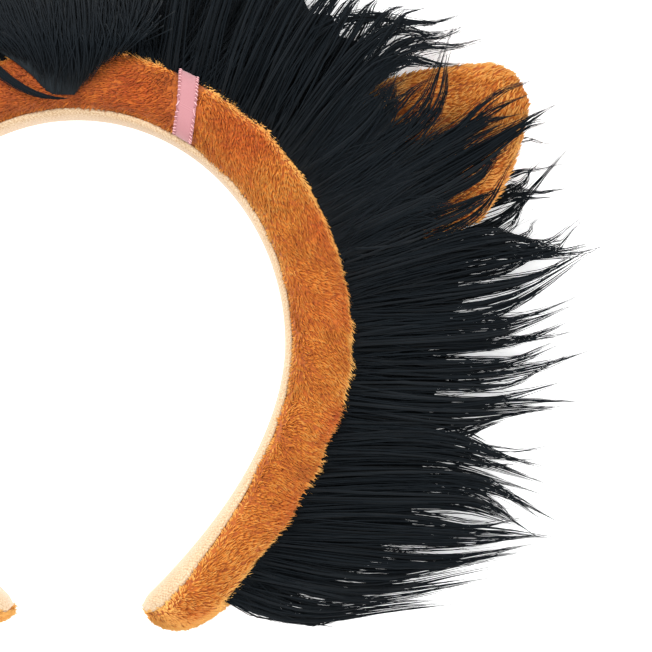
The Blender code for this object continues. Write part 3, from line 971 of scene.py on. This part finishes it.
# %% The locks, one row each from the crown to the tip: place, aim, curl
LOCKS = np.array([
    (0.000, 90, 0),
    (0.040, 85, 4),
    (0.080, 80, -4),
    (0.120, 75, -6),
    (0.155, 68, -8),
    (0.190, 61, -10),
    (0.220, 54, -14),
    (0.250, 47, -20),
    (0.275, 41, -20),
    (0.300, 38, -16),
    (0.325, 36, -6),
    (0.350, 33, 0),
    (0.380, 29, 4),
    (0.410, 27, 10),
    (0.435, 23, 10),
    (0.460, 18, 12),
    (0.485, 15, 14),
    (0.510, 9, 8),
    (0.535, 7, 8),
    (0.560, 4, 10),
    (0.585, 2, 8),
    (0.610, 1, 8),
    (0.635, 0, 4),
    (0.665, -1, 0),
    (0.695, -3, -6),
    (0.720, -4, -8),
    (0.745, -3, -6),
    (0.770, -2, -2),
    (0.795, 0, 8),
    (0.820, 1, 10),
    (0.845, -1, 12),
    (0.870, -4, 16),
    (0.893, -8, 22),
])
print(len(LOCKS), "locks on each side")


def bend(root, length, aim, curl, t):
    """XY along quadratic curves that leave the root at aim less curl and end on the aim."""
    middle = root + (length / 2)[:, None] * unit(aim - curl)
    return quadratic(root, middle, root + length[:, None] * unit(aim), t)


def over_ear(flat):
    """1 over or under an ear and 0 past 12 mm from its outline, with a smooth step between."""
    offset = np.stack([np.abs(flat[..., 0]), flat[..., 1]], axis=-1) - EAR_ROOT
    ahead = offset @ EAR_AIM
    width = EAR_HALF_WIDTH * np.interp(ahead / EAR_LENGTH, EAR_ALONG, EAR_WIDTHS)
    past = np.maximum(np.abs(offset @ EAR_ACROSS) - width, ahead - EAR_LENGTH)
    near = np.clip(1 - past / (12 * MM), 0, 1)
    return near**2 * (3 - 2 * near)


def most_under_ear(ear):
    """The highest level below an ear, 1 mm under it. It grows by 40 mm as the ear's share falls."""
    return LEVEL - EAR_HALF_THICKNESS - 1 * MM + (1 - ear) * 40 * MM


def mane_root(places):
    """XY a little inside the band's outer side, where a wisp's path starts."""
    return arch(places, band_thickness(places) - 2 * MM)


# %% [markdown]
# ### From locks to fibres
#
# Two kinds of wisp make the mane. Wavy ones are drawn at random. They cover and fill it up to the line
# where it stops being solid black, and some are fluff that lies every way over the rest, or strays
# that reach past it. The long ones that give the outline are listed one by one, each through three
# places: where it leaves the black, half way out, and its tip. Such a wisp is a few clumps side by
# side, and a clump is some fibres that start apart and meet at its tip. A few thick, short fibres make
# the core of each clump and of each filling wisp, so that no light shows through its root. The line and
# the places are read off the photo, in its pixels, so each number is easy to check against it.

# %% Long wisps, listed: X and Y of three places, the breadth, and 1 over the ear or -1 under it
PIXELS_PER_MM = 3.2
PIXEL = MM / PIXELS_PER_MM
PHOTO_CENTRE = (77, 344)

WISPS = np.array([
    (110, -62, 118, -95, 128, -132, 16, 0),
    (150, -60, 166, -95, 182, -124, 15, 0),
    (192, -52, 212, -84, 238, -112, 14, 0),
    (235, -42, 258, -72, 284, -98, 14, 0),
    (275, -28, 300, -55, 326, -78, 13, 0),
    (303, -14, 328, -38, 352, -60, 12, 0),
    (325, 4, 345, -16, 368, -40, 12, 0),
    (343, 14, 356, -2, 372, -16, 9, 0),
    (360, 20, 370, 4, 384, -10, 8, 0),
    (380, 22, 393, 8, 412, 1, 5, 0),
    (352, 18, 415, 21, 476, 12, 8, 0),
    (392, 26, 425, 22, 462, 11, 6, 0),
    (396, 22, 410, 10, 434, 4, 3, 0),
    (385, 31, 420, 32, 452, 27, 7, 0),
    (402, 42, 436, 36, 472, 21, 9, 0),
    (408, 50, 448, 46, 496, 33, 8, 0),
    (392, 64, 424, 66, 456, 66, 9, 1),
    (398, 60, 430, 63, 467, 67, 6, 0),
    (366, 118, 382, 96, 392, 80, 15, 1),
    (380, 108, 391, 92, 398, 77, 12, 1),
    (384, 126, 394, 108, 400, 92, 10, 1),
    (398, 134, 408, 124, 415, 116, 8, 1),
    (415, 118, 436, 78, 457, 14, 7, 1),
    (428, 116, 442, 82, 449, 52, 3, 1),
    (434, 118, 446, 84, 449, 66, 2, 1),
    (398, 108, 414, 90, 434, 81, 2, 1),
    (458, 130, 492, 98, 546, 75, 8, 1),
    (476, 122, 502, 106, 536, 93, 5, 1),
    (468, 132, 492, 121, 522, 115, 8, 1),
    (455, 148, 480, 134, 503, 124, 14, 1),
    (484, 154, 520, 130, 567, 115, 11, 1),
    (496, 142, 530, 121, 560, 102, 6, 1),
    (505, 136, 530, 117, 552, 106, 3, 1),
    (474, 178, 490, 162, 510, 148, 10, 1),
    (476, 214, 502, 178, 522, 149, 3, 1),
    (470, 208, 488, 196, 508, 188, 5, 1),
    (432, 186, 452, 182, 466, 178, 13, 1),
    (426, 204, 442, 204, 454, 203, 13, 1),
    (420, 222, 436, 224, 448, 224, 13, 1),
    (515, 173, 530, 170, 566, 162, 3, -1),
    (520, 139, 540, 141, 568, 143, 1, -1),
    (505, 187, 518, 186, 536, 190, 3, -1),
    (502, 194, 536, 192, 584, 185, 5, -1),
    (508, 201, 535, 198, 564, 195, 2, -1),
    (496, 220, 534, 187, 578, 138, 9, -1),
    (518, 186, 530, 172, 546, 160, 2, -1),
    (504, 230, 522, 207, 537, 192, 3, -1),
    (522, 236, 532, 226, 541, 216, 1, -1),
    (494, 233, 522, 239, 562, 239, 5, 0),
    (505, 241, 532, 243, 566, 247, 8, 0),
    (530, 248, 560, 234, 592, 210, 3, 0),
    (544, 248, 565, 240, 586, 217, 2, 0),
    (492, 248, 556, 250, 602, 240, 7, 0),
    (500, 254, 568, 255, 624, 239, 6, 0),
    (486, 262, 536, 258, 576, 250, 6, 0),
    (480, 274, 518, 264, 550, 245, 11, 0),
    (505, 288, 545, 272, 582, 250, 5, 0),
    (512, 281, 555, 268, 594, 246, 7, 0),
    (498, 305, 550, 280, 600, 246, 11, 0),
    (494, 314, 524, 301, 548, 289, 2, 0),
    (478, 320, 526, 317, 578, 296, 8, 0),
    (486, 331, 530, 322, 580, 303, 10, 0),
    (466, 336, 500, 329, 524, 321, 6, 0),
    (476, 346, 528, 338, 575, 319, 10, 0),
    (490, 342, 545, 338, 580, 328, 3, 0),
    (466, 368, 518, 361, 560, 344, 9, 0),
    (500, 361, 530, 353, 563, 338, 2, 0),
    (466, 375, 535, 368, 602, 347, 13, 0),
    (478, 386, 520, 381, 562, 358, 6, 0),
    (466, 401, 520, 394, 572, 380, 6, 0),
    (468, 404, 525, 402, 582, 402, 7, 0),
    (462, 412, 520, 410, 567, 407, 11, 0),
    (456, 424, 500, 418, 548, 410, 9, 0),
    (442, 432, 480, 425, 512, 419, 10, 0),
    (458, 438, 478, 431, 498, 424, 2, 0),
    (464, 440, 506, 457, 562, 471, 8, 0),
    (490, 449, 526, 451, 562, 443, 1, 0),
    (458, 446, 500, 458, 537, 461, 8, 0),
    (448, 454, 500, 469, 567, 491, 10, 0),
    (460, 460, 496, 466, 522, 464, 4, 0),
    (442, 468, 490, 478, 547, 497, 9, 0),
    (456, 479, 512, 496, 567, 527, 10, 0),
    (480, 482, 515, 500, 546, 521, 5, 0),
    (452, 489, 496, 505, 522, 529, 9, 0),
    (462, 499, 500, 512, 537, 537, 7, 0),
    (446, 504, 490, 515, 530, 530, 7, 0),
    (436, 520, 480, 526, 522, 518, 7, 0),
    (442, 530, 500, 531, 577, 543, 9, 0),
    (446, 536, 500, 538, 548, 537, 8, 0),
    (436, 545, 490, 543, 548, 535, 6, 0),
    (426, 560, 480, 556, 537, 544, 11, 0),
    (430, 566, 484, 559, 524, 554, 5, 0),
    (396, 576, 450, 567, 512, 561, 7, 0),
    (382, 585, 440, 578, 502, 567, 6, 0),
    (362, 592, 428, 588, 492, 579, 7, 0),
    (356, 600, 410, 597, 482, 582, 8, 0),
    (326, 610, 380, 606, 444, 602, 8, 0),
    (316, 618, 388, 612, 454, 606, 8, 0),
    (284, 619, 318, 624, 348, 619, 5, 0),
    (258, 606, 274, 617, 296, 621, 4, 0),
    (250, 603, 258, 608, 272, 611, 3, 0),
    (254, 605, 266, 616, 284, 618, 2, 0),
    (300, 620, 316, 626, 334, 623, 2, 0),
    (247, 602, 250, 609, 258, 612, 1, 0),
    (250, 606, 256, 613, 268, 615, 1, 0),
    (256, 610, 266, 618, 280, 621, 1, 0),
    (264, 613, 278, 621, 296, 624, 1, 0),
    (276, 616, 294, 624, 316, 627, 1, 0),
    (290, 618, 308, 625, 330, 627, 1, 0),
], float)

# The line where the mane stops being solid black, from the crown round to the toe.
DENSE_EDGE = np.array([
    (80, -60), (180, -55), (275, -48), (338, -8), (372, 26), (400, 58), (414, 80), (410, 116),
    (424, 137), (456, 127), (482, 119), (484, 150), (480, 182), (466, 214), (470, 232), (494, 232),
    (488, 262), (494, 294), (486, 316), (466, 334), (450, 360), (470, 373), (452, 394), (462, 409),
    (446, 426), (462, 439), (444, 453), (456, 478), (448, 500), (432, 514), (440, 536), (424, 549),
    (398, 572), (352, 590), (304, 612), (264, 604),
], float)


def placed(pixels):
    """XY of places in the photo, whose pixels are counted from the arch's centre and run down."""
    return (pixels - PHOTO_CENTRE) * (PIXEL, -PIXEL) + (0, CENTRE_DROP)


def lock_values(place):
    """Aim and curl of the mane at a place, read between the locks."""
    return (np.interp(place, LOCKS[:, 0], LOCKS[:, column]) for column in (1, 2))


def nearest_places(points):
    """Each point's place on the band: where the mane's aim points straight at it."""
    places = np.linspace(0, 0.9, 240)
    aim, curl = lock_values(places)
    run = points[:, None] - arch(places, band_thickness(places))
    off = np.degrees(np.arctan2(run[..., 1], run[..., 0])) - (aim - 0.6 * curl)
    return places[np.argmin(np.abs((off + 180) % 360 - 180), axis=1)]


def dense_reach(place):
    """How far the solid black goes at a place, read between the points of the listed line."""
    edge = placed(DENSE_EDGE)
    at = nearest_places(edge)
    order = np.argsort(at)
    far = np.linalg.norm(edge - arch(at, band_thickness(at)), axis=1)
    return np.interp(place, at[order], far[order])


# %% The dense mass below the fibres
MASS_OVER_EAR = 24.5 * MM


def fan(share, rows):
    """XY paths of the locks and of the notches between them, up to a share of the solid black."""
    place = np.linspace(0, LOCKS[-1, 0], 2 * len(LOCKS) - 1)
    aim, curl = lock_values(place)
    notch = 1 - 0.08 * (np.arange(len(place)) % 2)
    root = arch(place, band_thickness(place) - 4 * MM)
    t = np.tile(np.linspace(0, 1, rows), (len(place), 1))
    right = bend(root, dense_reach(place) * notch * share, aim, curl * share, t)
    return np.concatenate([(right[::-1] * (-1, 1))[:-1], right])


def mass(name, share, root_low, root_high, tip_height, above):
    """A closed body from root to rim: its top falls from the root's height to the rim's.

    The front one passes above the ears and the back one below them.
    """
    rows = 15
    flat = fan(share, rows)
    t = np.linspace(0, 1, rows)[None]
    top = root_high + (tip_height - root_high) * t**0.8 + 0 * flat[..., 0]
    low = root_low + 0 * top
    ear = over_ear(flat)
    if above:
        low = low * (1 - t) + 0.2 * MM * t
        low = np.where(ear > 0, np.maximum(low, MASS_OVER_EAR * ear), low)
        top = np.maximum(top, low + 0.6 * MM)
    else:
        top = np.minimum(top, most_under_ear(ear))
    over = np.concatenate([flat, top[..., None]], axis=-1)
    under = np.concatenate([flat, low[..., None]], axis=-1)
    grid = np.concatenate([over, under[:, ::-1]], axis=1)
    columns = grid.shape[1]
    u = np.arange(len(grid))[:, None] * 4.0 + np.zeros(columns)
    v = np.concatenate([t[0], t[0][::-1]])[None] * 2.0 + np.zeros((len(grid), 1))
    return tube_piece(name, grid, FUR_BASE, "fur_black", np.stack([u, v], axis=-1))


mane_mass_back = mass("mane_mass_back", 0.94, 0.4 * MM, 15 * MM, 2 * MM, False)
mane_mass_front = mass("mane_mass_front", 0.72, 15 * MM, 28.5 * MM, 4 * MM, True)
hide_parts("mane_back")
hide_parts("mane_front")

# %% The fibres
UNDER_EAR = (-45, -6)
OVER_EAR = (8, 44)
FIBRES_OVER_EAR = 25.5 * MM


def fibres(name, wisps, each, points, seed, spread, width, side, taper, squash, reach, frizz):
    """Fibres in wisps. wisps holds their places, a function for their paths, and their lowest and
    highest root angles. width is one number, or one for each wisp.

    each is how many fibres a wisp has, and points how many points a fibre has. spread is how far its
    root strays along the arch, taper how soon it nears the wisp's path, reach how far it goes along
    it, and frizz how wavy it is, in mm.

    A fibre's root lies on the band's outer side, beside its wisp's place. The fibre nears the wisp's
    path as it goes, strays a little from it half way, and ends at or short of the tip. It falls from
    the root's height to the floor, over the ear if it started above it and under it if below.
    """
    places, paths_of, low, high = wisps
    rng = np.random.default_rng(seed)
    wisp = np.repeat(np.arange(len(places)), each)
    count = len(wisp)
    place = np.clip(places[wisp] + rng.normal(0, spread, count), -0.9, 0.905)
    home = mane_root(places[wisp])
    angle = high[wisp] - (high - low)[wisp] * rng.random(count) ** 1.6
    root = band_points(place, angle % 360)
    ends = reach * (1 - 0.26 * rng.random(count) ** 2)
    t = np.linspace(0, 1, points)[None] * ends[:, None]
    path = paths_of(wisp, t)
    ahead = np.gradient(path, axis=1)
    across = normed(np.stack([-ahead[..., 1], ahead[..., 0]], axis=-1))
    path = path + (root[:, :2] - home)[:, None] * ((1 - t) ** taper)[..., None]
    sway = rng.normal(0, 1.0, (count, 1)) * MM * t * (1 - 0.9 * t)
    turns = rng.uniform(1.5, 5, (count, 1))
    wave = rng.normal(0, frizz, (count, 1)) * MM * t * (1 - 0.6 * t)
    wave = wave * np.sin(t * turns + 6 * rng.random((count, 1)))
    path = path + across * (sway + wave)[..., None]
    rest = np.repeat(rng.uniform(0.6, 9, len(places)), each)[:, None] * MM
    rest = rest + rng.uniform(0, 1.2, (count, 1)) * MM
    start = root[:, 2:] + 0.6 * MM
    fall = t**0.8
    z = start * (1 - fall) + rest * fall + 5 * MM * t * (1 - t) ** 2
    ear = over_ear(path)
    above = start > LEVEL
    lifted = z + (np.maximum(z, FIBRES_OVER_EAR + 0.4 * rest) - z) * ear
    z = np.where(above, lifted, np.minimum(z, most_under_ear(ear)))
    paths = np.concatenate([path * (side, 1), np.maximum(z, 0.35 * MM)[..., None]], axis=-1)
    each_width = np.broadcast_to(width, len(places))[wisp][:, None]
    widths = each_width * rng.uniform(0.7, 1.25, (count, 1)) * (1 - 0.62 * (t / ends[:, None]) ** 2.5)
    tone = np.repeat(rng.uniform(0.2, 0.7, len(places)), each)[:, None] + rng.normal(0, 0.15, (count, 1))
    # Painted shade: each fibre is painted darker toward its root.
    shade = np.clip(tone * (0.15 + 0.85 * t), 0, 1)
    strands(name, paths, widths, FUR_FIBRE, "fur_black", squash=squash, shade=shade)


# %% Wisps drawn at random, and wisps listed one by one
WISP_KNOTS = (0, 0.45, 0.75, 1)


def drawn_wisps(each, shares, noise, seed):
    """Random wisps all round, a number for each lock.

    Their lengths are shares of the solid black's, and noise turns them, in degrees.
    """
    rng = np.random.default_rng(seed)
    count = len(LOCKS) * each
    places = rng.uniform(0, 0.893, count)
    places[::7] = rng.uniform(0.80, 0.893, len(places[::7]))
    aim, curl = lock_values(places)
    flow = waves(places[:, None] * HALF_LENGTH, 22 * MM, seed)
    aim = aim + noise * flow + rng.normal(0, 0.6 * noise, count)
    curl = curl - noise * flow + rng.normal(0, 1.2 * noise, count)
    length = dense_reach(places) * rng.uniform(*shares, count)

    def paths_of(wisp, t):
        return bend(mane_root(places[wisp]), length[wisp], aim[wisp], curl[wisp], t)

    low = np.where(np.abs(places - EAR_PLACE) < 0.10, -12, UNDER_EAR[0])
    return places, paths_of, low, np.full(count, OVER_EAR[1])


def hand_wisps(seed):
    """The listed wisps, each split in clumps side by side that draw together at its tip.

    A clump's path is a cubic from its root through the wisp's three points. Each clump's breadth is
    the wisp's own, and comes second.
    """
    rng = np.random.default_rng(seed)
    copies = np.round(1 + WISPS[:, 6] / 2.6).astype(int)
    which = np.repeat(np.arange(len(WISPS)), copies)
    count = len(which)
    order = np.arange(count) - np.repeat(np.cumsum(copies) - copies, copies)
    share = (order + 0.5) / copies[which] - 0.5 + rng.normal(0, 0.08, count)
    offset = share * WISPS[which, 6] * PIXEL
    points = placed(WISPS[:, :6].reshape(-1, 3, 2))
    places = nearest_places(points[:, 0])[which] - offset / HALF_LENGTH + rng.normal(0, 0.005, count)
    points = points[which]
    ahead = points[:, 2] - points[:, 0]
    across = normed(np.stack([-ahead[:, 1], ahead[:, 0]], axis=1))
    points = points + across[:, None] * (offset[:, None] * (1.2, 0.7, 0.05))[..., None]
    points[:, 2] += rng.normal(0, 0.3 * MM, (count, 2))
    short = (0.25 + rng.uniform(0, 0.45, count)) * (np.abs(share) * copies[which] > 0.6)
    points[:, 2] += (points[:, 2] - points[:, 1]) * (0.35 - short)[:, None]
    ear = WISPS[which, 7]
    low = np.where(ear > 0, OVER_EAR[0], UNDER_EAR[0])
    high = np.where(ear < 0, UNDER_EAR[1], OVER_EAR[1])

    def paths_of(wisp, t):
        through = np.concatenate([mane_root(places)[:, None], points], axis=1)
        return cubic(WISP_KNOTS, through[wisp], t)

    return (places, paths_of, low, high), WISPS[which, 6]


# %% The mane's two sides
for side_name, side in (("right", 1), ("left", -1)):
    cover = drawn_wisps(9, (0.66, 1.06), 9, 61 + side)
    fill = drawn_wisps(4, (0.74, 1.06), 6, 63 + side)
    long, breadth = hand_wisps(81 + side)
    core = np.minimum(0.9, 0.25 + 0.09 * breadth)
    strays = drawn_wisps(4, (1.2, 1.9), 12, 101 + side)
    fluff = drawn_wisps(10, (0.25, 0.80), 26, 131 + side)
    # kind, wisps, each, points, seed, spread, width in mm, then taper, squash, reach and frizz
    for kind, wisps, each, points, seed, spread, width, *shape in (
        ("cover", cover, 15, 4, 71, 0.016, 0.52, 1.2, 0.45, 1.0, 2.2),
        ("fill", fill, 10, 6, 73, 0.011, 0.32, 1.6, 0.6, 1.0, 1.2),
        ("fill_cores", fill, 3, 5, 75, 0.008, 1.2, 1.4, 0.3, 0.72, 0.5),
        ("wisps", long, 6, 7, 91, 0.010, 0.30, 1.6, 1.0, 1.0, 0.3),
        ("wisp_cores", long, 2, 6, 93, 0.006, core, 1.4, 0.3, 0.70, 0.2),
        ("strays", strays, 2, 8, 111, 0.006, 0.16, 1.0, 1.0, 1.0, 1.2),
        ("fluff", fluff, 4, 6, 133, 0.020, 0.18, 1.0, 1.0, 1.0, 3.0),
    ):
        name = "mane_" + kind + "_" + side_name
        fibres(name, wisps, each, points, seed + side, spread, width * MM, side, *shape)

# %% [markdown]
# ## The forelock
#
# A lock of the same fibre hangs over the crown's front and is swept to the left. A thin body under
# it keeps the plush from showing through, and its fibres follow the same kind of curve as the mane's.

# %% The forelock
FORELOCK_FLOOR = BAND_DEPTH - BACK_FLAT + SEAM_GAP
FORELOCK_EDGE = np.array([
    (-25, 9), (-19, 6), (-14.5, 2.5), (-10.5, -1.5), (-8, -4.3), (-4, -5.6),
    (0.5, -5.6), (3, -2), (8, 3), (13, 7), (17, 10),
]) * MM
FORELOCK_FIBRES = 1700
TRESS_FIBRES = 60
TRESS_KNOTS = (0, 0.3, 0.62, 1)
TRESS_POINTS = np.array([(-33, 13), (-23.5, 2.4), (-13, -4.2), (-0.6, -5.9)]) * MM


def forelock_body():
    """Ovals from the crown's outer side down to the lock's point, between its left and right sides."""
    down = np.linspace(0, 1, 25)
    rows = (0, 0.22, 0.45, 0.68, 0.9, 1)
    left = np.interp(down, rows, (-26, -24, -18, -13, -9, -7))[:, None]
    right = np.interp(down, rows, (16, 13, 8, 4, 1, 0))[:, None]
    y = np.interp(down, rows, (13, 9, 5, 1, -3.4, -4.8))[:, None]
    thickness = np.interp(down, rows, (0.2, 0.7, 1, 0.9, 0.6, 0.2))[:, None]
    turn = -np.arange(24)[None] * 2 * math.pi / 24
    x = (left + right) / 2 + (right - left) / 2 * np.cos(turn)
    z = FORELOCK_FLOOR / MM - 1 + 4.0 * thickness * (1 + np.sin(turn)) / 2
    grid = np.stack([x, y + 0 * x, z], axis=-1) * MM
    uv = np.stack([x * 1.5, (down[:, None] + 0 * x) * 2], axis=-1)
    piece = tube_piece("forelock_body", grid, FUR_BASE, "fur_black", uv)
    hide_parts("forelock")


forelock_body()


def forelock_fibres(seed):
    """Fibres from behind the crown to the lock's edge. They gather in wisps and bow to the right."""
    rng = np.random.default_rng(seed)
    count = FORELOCK_FIBRES
    share = rng.beta(1.1, 1.1, count)
    wisp = np.round(share * 22) / 22
    meet = wisp + 0.35 * (share - wisp) + rng.normal(0, 0.008, count)
    start = np.stack([-34 + 56 * share + rng.normal(0, 4, count), rng.uniform(14, 34, count)], axis=1) * MM
    corners = np.arange(len(FORELOCK_EDGE))
    at = np.clip(meet, 0, 1) * corners[-1]
    end = np.stack([np.interp(at, corners, values) for values in FORELOCK_EDGE.T], axis=1)
    end = end + rng.normal(0, 0.5, (count, 2)) * MM
    middle = (start + end) / 2 + np.array([3.5, 2.0]) * MM + rng.normal(0, 0.5, (count, 2)) * MM
    s = np.linspace(0, 1, 6)[None] * rng.uniform(0.72, 1.0, count)[:, None] ** 0.6
    flat = quadratic(start, middle, end, s)
    high = rng.uniform(0.6, 5.8, count)[:, None] * MM
    z = FORELOCK_FLOOR + high * np.sin(math.pi * np.clip(0.25 + 0.68 * s, 0, 1))
    back = np.maximum(flat[..., 1] - 11 * MM, 0)
    z = z - 0.55 * back - 14 * back**2
    paths = np.concatenate([flat, z[..., None]], axis=-1)
    widths = 0.44 * MM * rng.uniform(0.7, 1.2, (count, 1)) * (1 - 0.7 * s**2)
    # Painted shade: each fibre is painted darker toward its start.
    shade = np.clip(rng.uniform(0, 0.5, (count, 1)) * (0.3 + 0.7 * s), 0, 1)
    strands("forelock_fibres", paths, widths, FUR_FIBRE, "fur_black", squash=0.5, shade=shade)


def forelock_tress(seed):
    """A thin tress that curls round below the lock's left side: a cubic through four places."""
    rng = np.random.default_rng(seed)
    count = TRESS_FIBRES
    s = np.linspace(0, 1, 9)[None] * rng.uniform(0.8, 1, (count, 1))
    flat = cubic(TRESS_KNOTS, TRESS_POINTS, s)
    off = rng.normal(0, 0.8, (count, 2))[:, None] * MM * (1.1 - s[..., None])
    z = FORELOCK_FLOOR + (1.2 + 1.6 * np.sin(math.pi * s) + rng.uniform(0, 1, (count, 1))) * MM
    paths = np.concatenate([flat + off, z[..., None]], axis=-1)
    widths = 0.34 * MM * (1 - 0.7 * s**2)
    shade = rng.uniform(0, 0.8, (count, 1)) + 0 * s
    strands("forelock_tress", paths, widths, FUR_FIBRE, "fur_black", shade=shade)


forelock_fibres(121)
forelock_tress(122)
print("triangles in all:", sum(made.values()))

# %% [markdown]
# ## The studio
#
# The photograph is taken from straight above on white paper. A long lens a good way up keeps the
# view nearly flat, and a white world with two big soft lamps gives a light with hardly any shadow.

# %% The floor, the camera and the lights
PIXELS = 652
VIEW_CENTRE = placed(np.array([PIXELS / 2, PIXELS / 2]))
CAMERA_HEIGHT = 1.6
FLOOR_HALF = 3.0
LAMP_AIM = (0.05, -0.05, 0)


def floor_material():
    """White paper that glows a little, so the sheet stays white to its edge."""
    material, shader = start_material("white_paper", 0.9, Specular_IOR_Level=0.1)
    grain = spot(material, 400).outputs["Fac"]
    colour = ramp(material, grain, [(0.3, (0.93, 0.93, 0.93, 1)), (0.7, (0.95, 0.95, 0.95, 1))])
    shader.inputs["Emission Color"].default_value = (1, 1, 1, 1)
    shader.inputs["Emission Strength"].default_value = 0.45
    return finished(material, shader, colour)


floor_mesh = bpy.data.meshes.new("floor")
floor_corners = [(x * FLOOR_HALF, y * FLOOR_HALF, 0) for x, y in ((-1, -1), (1, -1), (1, 1), (-1, 1))]
floor_mesh.from_pydata(floor_corners, [], [(0, 1, 2, 3)])
floor_mesh.materials.append(floor_material())
floor = in_scene("floor", floor_mesh)

camera_data = bpy.data.cameras.new("camera")
camera_data.lens = camera_data.sensor_width * CAMERA_HEIGHT / (PIXELS * PIXEL)
camera_data.clip_end = 20
camera = in_scene("camera", camera_data)
camera.location = (*VIEW_CENTRE, CAMERA_HEIGHT + BAND_DEPTH / 2)
bpy.context.scene.camera = camera

world = bpy.data.worlds.new("studio")
world.use_nodes = True
world.node_tree.nodes["Background"].inputs["Color"].default_value = (1, 1, 1, 1)
world.node_tree.nodes["Background"].inputs["Strength"].default_value = 1.15
bpy.context.scene.world = world
bpy.context.scene.view_settings.view_transform = "Standard"


def soft_lamp(name, place, size, power):
    """A square lamp that faces the object from where it hangs: a tilt from straight down, and a turn."""
    lamp_data = bpy.data.lights.new(name, "AREA")
    lamp_data.size = size
    lamp_data.energy = power
    lamp = in_scene(name, lamp_data)
    lamp.location = place
    x, y, z = np.array(LAMP_AIM) - np.array(place)
    lamp.rotation_euler = (math.atan2(math.hypot(x, y), -z), 0, math.atan2(x, -y) + math.pi)


soft_lamp("key", (-0.9, 0.9, 1.3), 0.9, 32)
soft_lamp("fill", (1.1, -0.3, 1.2), 1.2, 16)
